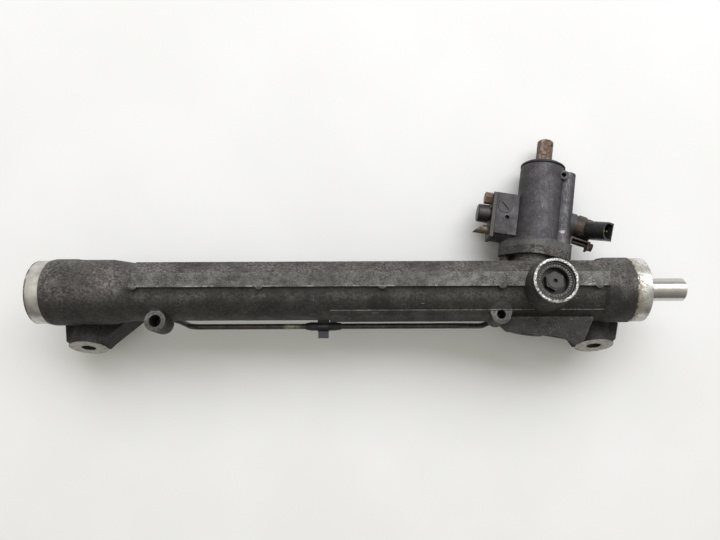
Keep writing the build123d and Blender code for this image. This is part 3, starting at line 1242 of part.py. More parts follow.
def pipe_nuts():
    """The four union nuts that hold the pipe ends in their ports."""
    frames = [valve_port_frame(LONG_PORT_X), valve_port_frame(SHORT_PORT_X)]
    frames += [port_frame(OUTER_PORT_X, OUTER_PORT_ANGLE), port_frame(INNER_PORT_X, INNER_PORT_ANGLE)]
    nut = extrude(RegularPolygon(PIPE_NUT_RADIUS, 6), amount=PIPE_NUT_LENGTH)
    nut -= rod(PIPE_RADIUS + SEAT, -1, PIPE_NUT_LENGTH + 2)
    return group([placed(frame, nut) for frame in frames])


def run_frame(x):
    """Frame on the straight run of the long pipe, with Z along the rack."""
    return Plane(origin=(x, PIPE_RUN_Y, PIPE_RUN_Z), x_dir=(0, 1, 0), z_dir=(1, 0, 0))


def pipe_sleeve():
    """The rubber sleeve on the long pipe, tapered at both ends."""
    bore = PIPE_RADIUS + SEAT
    outline = [(bore, 0), (bore + 0.5, 0), (PIPE_SLEEVE_RADIUS, 6)]
    outline += [(PIPE_SLEEVE_RADIUS, PIPE_SLEEVE_LENGTH - 6)]
    outline += [(bore + 0.5, PIPE_SLEEVE_LENGTH), (bore, PIPE_SLEEVE_LENGTH)]
    return placed(run_frame(PIPE_SLEEVE_X), turned(*outline))


def pipe_clip():
    """The band clip round the sleeve, with its foot on the tube and its closed ears."""
    bore = PIPE_SLEEVE_RADIUS + SEAT
    band = ring(bore + 1, bore, 0, CLIP_WIDTH)
    lean = math.degrees(math.atan2(PIPE_RUN_Z, PIPE_RUN_Y))
    distance = math.hypot(PIPE_RUN_Y, PIPE_RUN_Z)
    foot = Rot(0, 0, lean + 180) * block((bore, distance - TUBE_RADIUS + 2), (-3, 3), (0, CLIP_WIDTH))
    ears = block((-bore - 8, -bore), (-1.6, 1.6), (0.5, CLIP_WIDTH - 0.5))
    clip = placed(run_frame(CLIP_X), band + foot + ears)
    return clip - placed(RACK_LINE, rod(TUBE_RADIUS + SEAT, CLIP_X - 5, CLIP_WIDTH + 10))


# ---------------------------------------------------------------- assembly
def assembly():
    """Every node of the part, by name, in the casting's frame."""
    outer_race, inner_race, cage, rollers = lower_bearing()
    return {
        "rack_housing": rack_housing(),
        "end_bushing": end_bushing(),
        "bushing_o_ring": bushing_o_ring(),
        "bushing_retaining_ring": bushing_retaining_ring(),
        "rack_seals": rack_seals(),
        "seal_support_rings": seal_support_rings(),
        "rack_bar": rack_bar(),
        "piston": piston(),
        "piston_seal_ring": piston_seal_ring(),
        "piston_circlips": piston_circlips(),
        "pinion_shaft": pinion_shaft(),
        "lower_bearing_outer_race": outer_race,
        "lower_bearing_inner_race": inner_race,
        "lower_bearing_cage": cage,
        "lower_bearing_rollers": rollers,
        "pinion_lock_nut": pinion_lock_nut(),
        "pinion_end_cap": pinion_end_cap(),
        "upper_pinion_bush": upper_pinion_bush(),
        "pinion_seal": pinion_seal(),
        "valve_housing": valve_housing(),
        "valve_housing_gasket": valve_housing_gasket(),
        "valve_housing_bolts": valve_housing_bolts(),
        "valve_sleeve": valve_sleeve(),
        "sleeve_seal_rings": sleeve_seal_rings(),
        "input_shaft": input_shaft(),
        "torsion_bar": torsion_bar(),
        "torsion_pin": torsion_pin(),
        "input_bearing": input_bearing(),
        "input_shaft_seal": input_shaft_seal(),
        "input_retaining_ring": input_retaining_ring(),
        "dust_cap": dust_cap(),
        "yoke": yoke(),
        "yoke_liner": yoke_liner(),
        "yoke_o_rings": yoke_o_rings(),
        "yoke_spring": yoke_spring(),
        "adjuster_plug": adjuster_plug(),
        "port_plate": port_plate(),
        "port_plate_bolt": port_plate_bolt(),
        "pressure_fitting": pressure_fitting(),
        "return_pipe_stub": return_pipe_stub(),
        "port_seals": port_seals(),
        "port_block_plug": port_block_plug(),
        "solenoid_body": solenoid_body(),
        "solenoid_coil": solenoid_coil(),
        "solenoid_o_ring": solenoid_o_ring(),
        "solenoid_bracket": solenoid_bracket(),
        "solenoid_screw": solenoid_screw(),
        "solenoid_connector": solenoid_connector(),
        "connector_pins": connector_pins(),
        "valve_needle": valve_needle(),
        "needle_spring": needle_spring(),
        "long_transfer_pipe": long_transfer_pipe(),
        "short_transfer_pipe": short_transfer_pipe(),
        "pipe_nuts": pipe_nuts(),
        "pipe_sleeve": pipe_sleeve(),
        "pipe_clip": pipe_clip(),
    }


def main():
    os.makedirs("parts", exist_ok=True)
    lie = Rot(-LIE_ANGLE, 0, 0)
    for name, shape in assembly().items():
        export_step(lie * shape, f"parts/{name}.step")


if __name__ == "__main__":
    main()
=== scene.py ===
"""Looks of a hydraulic steering rack: weathered castings, bright machined rims and rusty steel."""
import json
import math

import bmesh
import bpy
from mathutils import Matrix, Vector, noise


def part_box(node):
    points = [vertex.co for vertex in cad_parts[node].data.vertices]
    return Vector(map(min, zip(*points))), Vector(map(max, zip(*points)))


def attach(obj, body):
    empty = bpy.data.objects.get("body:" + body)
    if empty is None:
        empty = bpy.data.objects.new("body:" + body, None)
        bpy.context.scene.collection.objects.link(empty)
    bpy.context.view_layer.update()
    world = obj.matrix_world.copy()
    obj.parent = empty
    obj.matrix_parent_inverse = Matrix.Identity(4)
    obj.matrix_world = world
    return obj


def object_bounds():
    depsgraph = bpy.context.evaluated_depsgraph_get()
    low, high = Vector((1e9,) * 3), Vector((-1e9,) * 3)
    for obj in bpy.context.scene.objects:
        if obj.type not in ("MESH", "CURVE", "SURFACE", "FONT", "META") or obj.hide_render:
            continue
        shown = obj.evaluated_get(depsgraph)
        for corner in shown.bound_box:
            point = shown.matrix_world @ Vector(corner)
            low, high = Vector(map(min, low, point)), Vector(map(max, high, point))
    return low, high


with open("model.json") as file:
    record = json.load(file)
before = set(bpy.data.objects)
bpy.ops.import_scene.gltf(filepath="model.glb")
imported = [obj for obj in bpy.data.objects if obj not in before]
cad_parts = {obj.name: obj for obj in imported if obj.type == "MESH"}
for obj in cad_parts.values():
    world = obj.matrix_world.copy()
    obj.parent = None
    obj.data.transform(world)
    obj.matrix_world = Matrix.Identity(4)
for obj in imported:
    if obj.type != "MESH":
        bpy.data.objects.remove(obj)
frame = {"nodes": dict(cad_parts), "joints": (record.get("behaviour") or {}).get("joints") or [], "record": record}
cad_box = [list(corner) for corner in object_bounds()]

MM = 0.001

# Camera.
CAMERA_PLACE = (0.3362, 0.0221, 0.621)
CAMERA_ROLL = -0.25              # degrees
CAMERA_LENS = 29.5               # millimetres
SENSOR_WIDTH = 36                # millimetres
NEAREST_SEEN = 0.05              # metres

# Stage and light.
STAGE_MIDDLE = (0.33, 0, 0)      # what the floor and the lamps are centred on
FLOOR_SIZE = 6                   # metres
FLOOR_GAP = 0.0002               # metres that the floor lies under the part
FLOOR_SHADES = (0.85, 0.85, 0.84), (0.89, 0.89, 0.885)
ROOM_PALENESS = 0.93             # how bright the camera sees the room beyond the floor
ROOM_TINT = (1, 0.98, 0.87, 1)   # colour of the room's own light
WHITE = (1, 1, 1, 1)
WINDOW_WAY = (0, 0.8, 0.6)
CEILING_WAY = (0, 0.25, 0.968)
ROOM_LIT = 0.32, 0.22            # strength of the room's light: what the window's side adds, the least
ROOM_MIRRORED = 0.55, 0.06       # the same for the room that metal mirrors
CEILING_GLOW = 1.15              # what the ceiling adds there
CEILING_SHARPNESS = 10.0         # how quickly that glow falls off

# Colours of the castings and of what lies on them.
HOUSING_SHADES = (0.027, 0.0245, 0.0225), (0.074, 0.069, 0.064)
VALVE_SHADES = (0.04, 0.038, 0.043), (0.082, 0.079, 0.087)
CAST_SPECULAR = 0.3
BLOOM = 2.6                      # how much paler the powdery oxide is than a casting's light shade
# Grime, and also painted shade: the side away from the window lamp, the spine's lower edge and the hollow at the
# right collar.
GRIME_AND_SHADE = (0.019, 0.017, 0.0155)
EARTH = (0.062, 0.047, 0.034)
PALE_OXIDE = (0.4, 0.39, 0.37)
# Bare metal on worn edges, also used for painted highlights: glints along the spine's edge and a highlight beside
# the yoke's tower.
BARE_ALUMINIUM_AND_HIGHLIGHT = (0.5, 0.49, 0.47)
SPINE_DUST = (0.23, 0.225, 0.21)
FACED_METAL = (0.5, 0.475, 0.44)
TURNED_SHADES = (0.44, 0.44, 0.43), (0.72, 0.72, 0.71)
RIM_STAIN = (0.26, 0.215, 0.14)
RIM_RUST = (0.085, 0.038, 0.026)
DRAWN_GREY = (0.036, 0.034, 0.038)
# dust on the valve flange, laid only on its side toward the window lamp: dust and painted light
FLANGE_DUST_AND_LIGHT = (0.115, 0.108, 0.098)
# painted highlight along the valve column's crest
CREST_HIGHLIGHT = (0.22, 0.22, 0.23)
# darker colour towards the port block's end
DARKER_BLOCK_END = (0.022, 0.018, 0.018)
SCUFFED_METAL = (0.62, 0.61, 0.59)
STRUCK_SHADES = (0.26, 0.25, 0.235), (0.58, 0.57, 0.55)
STRUCK_PITS = (0.035, 0.032, 0.029)
NOTCH_SHADES = (0.07, 0.067, 0.064), (0.19, 0.185, 0.18)

# Colours of the steel.
RUST_WORN = (0.42, 0.39, 0.35)
PIPE_SHADES = (0.02, 0.018, 0.016), (0.062, 0.048, 0.036)
PIPE_FLECKS = (0.2, 0.175, 0.135)
PIPE_RUBBED = (0.3, 0.29, 0.2)

# Faces cut flat after casting: the mount they surround, their radius in millimetres, how pale.
FACED_MOUNTS = {
    "left_mounting_bore": (20.5, 1.0),
    "right_mounting_bore": (20.5, 1.0),
    "left_lug_hole": (12.5, 0.1),
    "right_lug_hole": (12.5, 0.09),
}
FACE_SKIN = 0.3                  # millimetres of depth that count as the face

# Places on the part, in metres. A pair says where a look starts and where it is complete.
WINDOW_SIDE = (0, 0.72, 0.69)    # the way the castings' side toward the window lamp faces: more pale bloom and less grime there, dust and painted light together
PAINTED_SHADE_SHARE = 0.56           # how strongly the side away from it is painted darker: painted shade
OUTLYING = (-0.025, -0.032)      # across the rack, past which the painted shade deepens further
OUTLYING_SHADE = 0.8
SPINE_TOP = (0.0322, 0.0334)     # above the rack
SPINE_EDGE = 0.0061              # across the rack, where the spine's lower edge lies
SPINE_START = (0.094, 0.1)       # along the rack
SPINE_END = (0.589, 0.584)
PALER_STRETCH = (0.28, 0.42)     # along the rack, where the spine's dust gets paler
SPINE_HIGHLIGHT = (0.5655, 0.0095, 0.0339)     # painted highlight on the spine beside the yoke's tower
SHADED_HOLLOW = (0.5895, -0.001, 0.0325)           # painted shade in the hollow where the spine meets the right collar
EATEN_BAND = (-0.006, -0.015)    # in from the right rim's end, where corrosion is thickest
RUSTY_END = (-0.0024, -0.0006)   # in from the left rim's end
FLANGE_TOP = (0.0555, 0.0535)    # across the rack, where the valve housing's flange starts, dusted and painted paler on its side toward the window lamp
BLOCK_FOOT = (0.494, 0.487)      # along the rack, past which the valve housing gets darker towards the port block's end
COLUMN_CREST = (0.5638, 0.1087, -0.0248)    # a point on the column's crest, along which a highlight is painted
CREST_WIDTH = (0.0055, 0.0015)   # away from the crest's line
SCUFF_PLACE = (0.554, 0.0625, -0.0145)      # bright scuff at the foot of the column
SCUFF_FADE = (0.55, 1.0, 0.5)    # how fast the scuff fades along each axis
RUBBED_STRETCH = (0.252, 0.276)  # along the rack, from end to end of the long pipe's rubbed stretch

# The beaten rim around the adjuster plug and the plug's ring of notches.
RIM_CLEARANCE = 0.00003          # metres that the rim stays under the solids' highest point
RIM_SPREAD = 0.975, 1.16         # where the rim starts and ends, as shares of the plug's radius
RIM_ROWS = 10
RIM_TURNS = 240
RIM_LIFT, RIM_BEAD, RIM_DENTS = 0.15, 0.45, 0.4     # millimetres: least height, bead, hammer marks
HAMMER_MARK = 1.7                # millimetres across one mark
NOTCHES = 38
NOTCH_TURNS = 10 * NOTCHES
NOTCH_SPREAD = 0.70, 0.715, 0.73, 0.77, 0.82, 0.86, 0.875, 0.885    # shares of the plug's radius
NOTCH_LIFT, NOTCH_HEIGHT = 0.15, 0.75               # millimetres
NOTCH_BORDER = 0.0004            # metres of plain ring beside the notches
NOTCH_SINK = 1.6                 # millimetres that the notched ring lies under the plug's top
RING_SINK = 0.4                  # millimetres that a ring's back lies under the face it sits on

mounts = {mount["name"]: mount for mount in frame["record"]["mounts"]}
joints = {joint["name"]: joint for joint in frame["joints"]}
YOKE_AXIS = Vector(joints["yoke_lift"]["axis"]).normalized()
PINION_AXIS = Vector(joints["pinion_spin"]["axis"]).normalized()


# ------------------------------------------------------------- shader graphs
class Shader:
    """A material whose pattern is built from object coordinates, in metres."""

    def __init__(self, name):
        self.material = bpy.data.materials.new(name)
        self.material.use_nodes = True
        self.tree = self.material.node_tree
        self.bsdf = self.tree.nodes["Principled BSDF"]
        self.place = self.tree.nodes.new("ShaderNodeTexCoord").outputs["Object"]

    def node(self, kind, **settings):
        made = self.tree.nodes.new(kind)
        for key, value in settings.items():
            setattr(made, key, value)
        return made

    def feed(self, socket, value):
        if isinstance(value, bpy.types.NodeSocket):
            self.tree.links.new(value, socket)
        elif socket.type == "RGBA" and len(value) == 3:
            socket.default_value = (*value, 1)
        else:
            socket.default_value = value

    def math(self, operation, *values):
        made = self.node("ShaderNodeMath", operation=operation)
        for socket, value in zip(made.inputs, values):
            self.feed(socket, value)
        return made.outputs[0]

    def both(self, first, second):
        return self.math("MULTIPLY", first, second)

    def either(self, first, second):
        return self.math("MAXIMUM", first, second)

    def vector(self, operation, *values):
        made = self.node("ShaderNodeVectorMath", operation=operation)
        for socket, value in zip(made.inputs, values):
            self.feed(socket, value)
        return made.outputs["Value" if operation in ("DOT_PRODUCT", "LENGTH", "DISTANCE") else "Vector"]

    def ramp(self, value, low, high, start=0.0, end=1.0):
        made = self.node("ShaderNodeMapRange", interpolation_type="SMOOTHSTEP")
        for socket, number in zip(made.inputs, (value, low, high, start, end)):
            self.feed(socket, number)
        return made.outputs[0]

    def choice(self, kind, share, first, second):
        made = self.node("ShaderNodeMix", data_type=kind)
        self.feed(made.inputs["Factor"], share)
        self.feed(made.inputs["A"], first)
        self.feed(made.inputs["B"], second)
        return made.outputs["Result"]

    def mix(self, share, first, second):
        """From one colour to another."""
        return self.choice("RGBA", share, first, second)

    def blend(self, share, first, second):
        """From one number to another."""
        return self.choice("FLOAT", share, first, second)

    def stretched(self, factors):
        return self.vector("MULTIPLY", self.place, factors)

    def noise(self, size, detail, roughness, place=None):
        """Soft noise from 0 to 1 with blotches of about the size given, in millimetres."""
        made = self.node("ShaderNodeTexNoise")
        self.feed(made.inputs["Vector"], place or self.place)
        self.feed(made.inputs["Scale"], 1 / (size * MM))
        self.feed(made.inputs["Detail"], detail)
        self.feed(made.inputs["Roughness"], roughness)
        return made.outputs["Fac"]

    def patches(self, size, detail, roughness, low, high, start=0.0, end=1.0, place=None):
        """Noise cut between two levels, which leaves patches with soft edges."""
        return self.ramp(self.noise(size, detail, roughness, place), low, high, start, end)

    def edges(self, radius, low=0.02, high=0.35):
        """1 on edges and corners, found from how far a rounded normal leaves the true one."""
        rounded = self.node("ShaderNodeBevel", samples=6)
        self.feed(rounded.inputs["Radius"], radius * MM)
        true = self.node("ShaderNodeNewGeometry").outputs["Normal"]
        turned = self.vector("DOT_PRODUCT", rounded.outputs[0], true)
        return self.ramp(self.math("SUBTRACT", 1.0, turned), low, high)

    def facing(self, direction, low, high):
        """1 where the surface faces a direction, fading to 0."""
        normal = self.node("ShaderNodeNewGeometry").outputs["Normal"]
        return self.ramp(self.vector("DOT_PRODUCT", normal, tuple(direction)), low, high)

    def along(self, direction, origin=(0, 0, 0)):
        """Distance in metres along a direction, from an origin."""
        offset = -Vector(direction).dot(Vector(origin))
        return self.math("ADD", self.vector("DOT_PRODUCT", self.place, tuple(direction)), offset)

    def past_mount(self, name):
        """Distance in metres past a mount's place, along its axis."""
        return self.along(mounts[name]["axis"], mounts[name]["pos_m"])

    def from_axis(self, origin, direction):
        """Distance in metres from a line."""
        away = self.vector("SUBTRACT", self.place, tuple(origin))
        return self.vector("LENGTH", self.vector("CROSS_PRODUCT", away, tuple(direction)))

    def near(self, point, far, close):
        """1 closer to a point than one distance, fading to 0 at a farther one."""
        return self.ramp(self.vector("DISTANCE", self.place, point), far, close)

    def finish(self, colour, roughness, metallic, bump=None, strength=0.4, depth=0.3, round_edge=0.0):
        self.feed(self.bsdf.inputs["Base Color"], colour)
        self.feed(self.bsdf.inputs["Roughness"], roughness)
        self.feed(self.bsdf.inputs["Metallic"], metallic)
        made = None
        if round_edge:
            made = self.node("ShaderNodeBevel", samples=6)
            self.feed(made.inputs["Radius"], round_edge * MM)
        if bump is not None:
            relief = self.node("ShaderNodeBump")
            self.feed(relief.inputs["Strength"], strength)
            self.feed(relief.inputs["Distance"], depth * MM)
            self.feed(relief.inputs["Height"], bump)
            if made:
                self.feed(relief.inputs["Normal"], made.outputs[0])
            made = relief
        if made:
            self.feed(self.bsdf.inputs["Normal"], made.outputs[0])
        return self.material


# ------------------------------------------------------------- where the plug and its rim are
def reach_along(node, direction, centre=None, radius=None):
    """How far a node's mesh reaches along a direction, within a radius of a centre line if given."""
    found = []
    for vertex in frame["nodes"][node].data.vertices:
        away = vertex.co - centre if centre else vertex.co
        off_axis = (away - direction * away.dot(direction)).length
        if radius is None or off_axis < radius:
            found.append(vertex.co.dot(direction))
    return max(found)


plug_low, plug_high = (Vector(corner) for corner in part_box("adjuster_plug"))
plug_x = (plug_low.x + plug_high.x) / 2
plug_radius = (plug_high.x - plug_low.x) / 2
YOKE_CENTRE = Vector((plug_x, 0, 0))
RIM_START, RIM_RADIUS = (plug_radius * share for share in RIM_SPREAD)
RIM_TOP = reach_along("rack_housing", YOKE_AXIS, YOKE_CENTRE, RIM_RADIUS)
RIM_RADII = [RIM_START + (RIM_RADIUS - RIM_START) * row / (RIM_ROWS - 1) for row in range(RIM_ROWS)]
RIM_MIDDLE = RIM_RADII[(RIM_ROWS - 1) // 2]
NOTCH_FLOOR = reach_along("adjuster_plug", YOKE_AXIS) - NOTCH_SINK * MM
NOTCH_RADII = [plug_radius * share for share in NOTCH_SPREAD]

yoke_frame = YOKE_AXIS.to_track_quat("Z", "X").to_matrix().to_4x4()
rim_frame = Matrix.Translation(YOKE_CENTRE + YOKE_AXIS * RIM_TOP) @ yoke_frame
notch_frame = Matrix.Translation(YOKE_CENTRE + YOKE_AXIS * NOTCH_FLOOR) @ yoke_frame


# ------------------------------------------------------------- castings
def casting(name, shades, gloss=0.0, mottle=1.0):
    """Weathered cast aluminium: mottled oxide, grime, pale specks, scratches and bright worn edges, painted paler
    toward the window lamp and painted shade away from it.
    """
    s = Shader(name)
    s.bsdf.inputs["Specular IOR Level"].default_value = CAST_SPECULAR
    blotch = s.noise(16, 6, 0.7)
    fine = s.noise(2.4, 4, 0.72)
    # The side toward the window lamp gets more pale bloom and less grime: dust and painted light together.
    lit_and_dusty = s.facing(WINDOW_SIDE, 0.3, 0.86)

    dark, light = shades
    colour = s.mix(s.ramp(s.blend(0.5 * mottle, blotch, fine), 0.4, 0.6), dark, light)
    bloom = s.both(s.patches(38, 5, 0.65, 0.34, 0.62), s.ramp(fine, 0.4, 0.64))
    bloom = s.both(bloom, s.blend(lit_and_dusty, 0.2, 1.0))
    colour = s.mix(s.both(bloom, 0.8 * mottle), colour, tuple(BLOOM * part for part in light))

    grime = s.both(s.patches(30, 5, 0.6, 0.48, 0.64), s.blend(lit_and_dusty, 0.75, 0.4))
    colour = s.mix(grime, colour, GRIME_AND_SHADE)
    colour = s.mix(s.both(s.patches(22, 5, 0.65, 0.54, 0.7), 0.55), colour, EARTH)
    # Painted shade: darker on the side away from the window lamp, and darker still far out across the rack.
    painted_shade = s.both(s.facing(WINDOW_SIDE, 0.84, 0.3), PAINTED_SHADE_SHARE)
    outlying = s.both(s.ramp(s.along((0, 1, 0)), *OUTLYING), OUTLYING_SHADE)
    painted_shade = s.either(painted_shade, outlying)
    colour = s.mix(painted_shade, colour, GRIME_AND_SHADE)

    specks = s.both(s.patches(1.3, 2, 0.6, 0.63, 0.72), s.patches(24, 4, 0.6, 0.42, 0.6))
    scratches = s.patches(6, 2, 0.5, 0.745, 0.78, place=s.stretched((0.3, 2.4, 2.0)))
    chips = s.both(s.patches(5, 5, 0.75, 0.66, 0.7), s.patches(60, 2, 0.5, 0.5, 0.62))
    marks = s.either(s.both(specks, 0.5), s.both(s.either(scratches, chips), 0.6))
    colour = s.mix(marks, colour, PALE_OXIDE)

    worn = s.both(s.edges(1.0, 0.05), s.patches(5, 5, 0.7, 0.46, 0.62))
    worn = s.both(worn, s.ramp(painted_shade, 0.0, 1.0, 1.0, 0.25))
    colour = s.mix(s.both(worn, 0.65), colour, BARE_ALUMINIUM_AND_HIGHLIGHT)
    rough = s.ramp(blotch, 0.3, 0.7, 0.7 - gloss, 0.52 - gloss)
    metal = s.ramp(worn, 0, 1, 0.1, 0.85)
    relief = s.math("ADD", s.both(s.noise(0.8, 3, 0.7), 0.45), fine)
    return s, colour, rough, metal, relief


def spine_dust_and_light(s, colour):
    """Pale dust, painted glints and a painted highlight on the spine's flat top, painted shadow under its lower
    edge and painted shade in the hollow at the right collar.
    """
    across = s.along((0, 1, 0))
    length = s.along((1, 0, 0))
    between = s.both(s.ramp(length, *SPINE_START), s.ramp(length, *SPINE_END))
    top = s.both(s.facing((0, 0, 1), 0.96, 0.995), s.ramp(s.along((0, 0, 1)), *SPINE_TOP))
    top = s.both(top, between)

    dust = s.ramp(s.blend(0.45, s.noise(9, 6, 0.75), s.noise(1.3, 3, 0.7)), 0.42, 0.6, 0.12, 0.75)
    dust = s.both(dust, s.patches(50, 3, 0.6, 0.36, 0.58, 0.5, 1.0))
    dust = s.both(dust, s.ramp(length, *PALER_STRETCH, 1.0, 1.35))
    colour = s.mix(s.both(top, dust), colour, SPINE_DUST)

    # Painted highlights: glints along the spine's lower edge and a highlight beside the yoke's tower.
    edge = s.both(top, s.ramp(across, SPINE_EDGE + 0.0016, SPINE_EDGE + 0.0006))
    glints = s.both(edge, s.patches(6, 5, 0.75, 0.53, 0.6, place=s.stretched((0.6, 1, 1))))
    painted_highlight = s.both(s.near(SPINE_HIGHLIGHT, 0.007, 0.004), top)
    painted_highlight = s.both(painted_highlight, s.patches(3.5, 4, 0.7, 0.52, 0.58, place=s.stretched((0.4, 1.6, 1))))
    colour = s.mix(s.either(s.both(glints, 0.5), s.both(painted_highlight, 0.9)), colour, BARE_ALUMINIUM_AND_HIGHLIGHT)

    # Painted shadow under the spine's lower edge and painted shade in the hollow at the right collar.
    shadow_under_edge = s.ramp(across, SPINE_EDGE + 0.0001, SPINE_EDGE - 0.0006)
    shadow_under_edge = s.both(shadow_under_edge, s.ramp(across, -0.005, 0.002))
    shadow_under_edge = s.both(shadow_under_edge, s.both(between, s.facing((0, 0, 1), 0.2, 0.6)))
    hollow = s.near(SHADED_HOLLOW, 0.011, 0.006)
    return s.mix(s.either(s.both(shadow_under_edge, 0.72), s.both(hollow, 0.75)), colour, GRIME_AND_SHADE)


def peened(s):
    """Aluminium hammered over the plug: bright where it was struck, pitted and black between."""
    inward = s.ramp(s.from_axis(YOKE_CENTRE, YOKE_AXIS), RIM_MIDDLE, RIM_START, 0.0, 0.14)
    pits = s.ramp(s.math("ADD", s.noise(1.5, 4, 0.78), inward), 0.5, 0.58)
    bright = s.mix(s.patches(6, 3, 0.6, 0.35, 0.65), *STRUCK_SHADES)
    return s.mix(pits, bright, STRUCK_PITS), pits


def struck_ring(s, colour):
    """The top of the yoke's tower, struck together with the rim that lies on it."""
    struck = s.math("LESS_THAN", s.from_axis(YOKE_CENTRE, YOKE_AXIS), RIM_RADIUS + 0.3 * MM)
    struck = s.both(struck, s.ramp(s.along(YOKE_AXIS), RIM_TOP - 0.5 * MM, RIM_TOP - 0.1 * MM))
    return s.mix(struck, colour, peened(s)[0])


def faced_bosses(s, colour):
    """The bare end faces of the mounting bosses and of the tapped lugs."""
    pale = 0.0
    for name, (radius, paleness) in FACED_MOUNTS.items():
        mount = mounts[name]
        reach = s.math("ABSOLUTE", s.past_mount(name))
        face = mount["dims"]["length_mm"] * MM / 2
        near = s.math("LESS_THAN", s.from_axis(mount["pos_m"], mount["axis"]), radius * MM)
        cut = s.both(s.math("GREATER_THAN", reach, face - FACE_SKIN * MM), near)
        pale = s.either(pale, s.both(cut, paleness))
    return s.mix(s.both(pale, s.patches(4, 5, 0.7, 0.36, 0.6, 0.45, 1.0)), colour, FACED_METAL)


def rim_mask(s, name, fade, wander):
    """1 on the turned rim that a boot sits on, its inner edge eaten unevenly by corrosion."""
    depth = s.both(s.past_mount(name), -1.0)
    eaten = s.both(s.math("SUBTRACT", s.noise(5, 6, 0.7), 0.5), wander * MM)
    seat = mounts[name]["dims"]["length_mm"] * MM
    return s.ramp(s.math("ADD", depth, eaten), seat + fade * MM, seat)


def turned_rims(s, colour, rough, metal, relief):
    """The rims that the boots sit on: turned bright, stained on the right, rusty at the left end."""
    left = rim_mask(s, "left_boot_seat", 0.8, 1.5)
    right = rim_mask(s, "right_boot_seat", 1.6, 10.0)
    rims = s.either(left, right)
    inward = s.ramp(s.past_mount("right_boot_seat"), *EATEN_BAND)
    stain = s.ramp(s.math("ADD", s.noise(3, 6, 0.74), s.both(inward, 0.12)), 0.5, 0.6)
    stain = s.both(stain, s.blend(right, 0.35, 0.85))
    bright = s.mix(s.patches(12, 3, 0.6, 0.35, 0.65), *TURNED_SHADES)
    colour = s.mix(rims, colour, s.mix(stain, bright, RIM_STAIN))
    rust = s.both(s.ramp(s.past_mount("left_boot_seat"), *RUSTY_END), s.patches(7, 5, 0.7, 0.4, 0.56))
    colour = s.mix(s.both(rust, 0.85), colour, RIM_RUST)
    rough = s.blend(rims, rough, s.ramp(stain, 0, 1, 0.3, 0.6))
    metal = s.blend(rims, metal, s.ramp(stain, 0, 1, 0.85, 0.35))
    relief = s.both(relief, s.math("SUBTRACT", 1.0, s.both(rims, 0.8)))
    return colour, rough, metal, relief


def housing_material():
    s, colour, rough, metal, relief = casting("cast_housing", HOUSING_SHADES)
    colour = faced_bosses(s, struck_ring(s, spine_dust_and_light(s, colour)))
    surface = turned_rims(s, colour, rough, metal, relief)
    return s.finish(*surface, 0.6, 0.55, round_edge=0.8)


def valve_material():
    """The valve housing's smoother, bluer casting, with the scuff at its column's foot, a painted highlight along
    the column's crest, dust and painted light on the flange, and a darker port block end.
    """
    s, colour, rough, metal, relief = casting("cast_valve", VALVE_SHADES, 0.07, 0.4)
    drawn = s.patches(5, 5, 0.7, 0.42, 0.6, 0.0, 0.5, place=s.stretched((1.6, 0.16, 1.6)))
    colour = s.mix(drawn, colour, DRAWN_GREY)
    # The flange is paler on its side toward the window lamp: dust and painted light.
    flange = s.both(s.ramp(s.along((0, 1, 0)), *FLANGE_TOP), s.facing(WINDOW_SIDE, 0.2, 0.7))
    dust = s.patches(2.2, 5, 0.75, 0.4, 0.6, 0.25, 0.9)
    colour = s.mix(s.both(flange, dust), colour, FLANGE_DUST_AND_LIGHT)

    # Painted highlight along the column's rounded crest, broken into streaks.
    crest = s.ramp(s.from_axis(COLUMN_CREST, PINION_AXIS), *CREST_WIDTH)
    highlight_streaks = s.patches(2.5, 5, 0.7, 0.42, 0.64, place=s.stretched((1.5, 0.3, 1.5)))
    colour = s.mix(s.both(crest, s.both(highlight_streaks, 0.55)), colour, CREST_HIGHLIGHT)
    # Darker towards the port block's end.
    foot = s.ramp(s.along((1, 0, 0)), *BLOCK_FOOT)
    colour = s.mix(s.both(foot, s.patches(9, 4, 0.6, 0.35, 0.6, 0.3, 0.8)), colour, DARKER_BLOCK_END)

    centre = tuple(part * fade for part, fade in zip(SCUFF_PLACE, SCUFF_FADE))
    scuff = s.ramp(s.vector("DISTANCE", s.stretched(SCUFF_FADE), centre), 0.0048, 0.0012)
    ragged = s.noise(2.2, 5, 0.75, s.stretched((0.45, 2.2, 1.0)))
    scuff = s.ramp(s.math("ADD", s.both(scuff, 0.5), ragged), 0.92, 1.06)
    colour = s.mix(s.both(scuff, 0.8), colour, SCUFFED_METAL)
    return s.finish(colour, rough, metal, relief, 0.4, 0.4, round_edge=1.0)


# ------------------------------------------------------------- steel, rubber and plastic
def metal_material(name, colour, spot, roughness, metallic=0.95, spots=0.4, size=8, grain=0.2):
    """Plain metal with stains, fine tool marks and slightly broken edges."""
    s = Shader(name)
    stain = s.patches(size, 5, 0.65, 0.62 - 0.25 * spots, 0.78 - 0.2 * spots)
    stain = s.both(stain, min(1, spots * 1.6))
    shade = s.mix(s.patches(size * 3, 3, 0.5, 0.3, 0.7), tuple(0.82 * part for part in colour), colour)
    tint = s.mix(stain, shade, spot)
    clean = s.patches(1.5, 3, 0.6, 0.3, 0.7, roughness - 0.04, roughness + 0.06)
    rough = s.blend(stain, clean, min(0.85, roughness + 0.35))
    metal = s.blend(stain, metallic, metallic * 0.4)
    return s.finish(tint, rough, metal, s.noise(0.8, 3, 0.6), grain, 0.2, round_edge=0.3)


def dull_material(name, colour, dust, roughness, grain=0.3):
    """Rubber or plastic: dark, with a little dust and a fine grain."""
    s = Shader(name)
    tint = s.mix(s.both(s.patches(7, 5, 0.65, 0.45, 0.75), 0.5), colour, dust)
    rough = s.patches(3, 3, 0.6, 0.3, 0.7, roughness - 0.06, roughness + 0.08)
    return s.finish(tint, rough, 0.0, s.noise(1.0, 3, 0.6), grain, 0.15, round_edge=0.3)


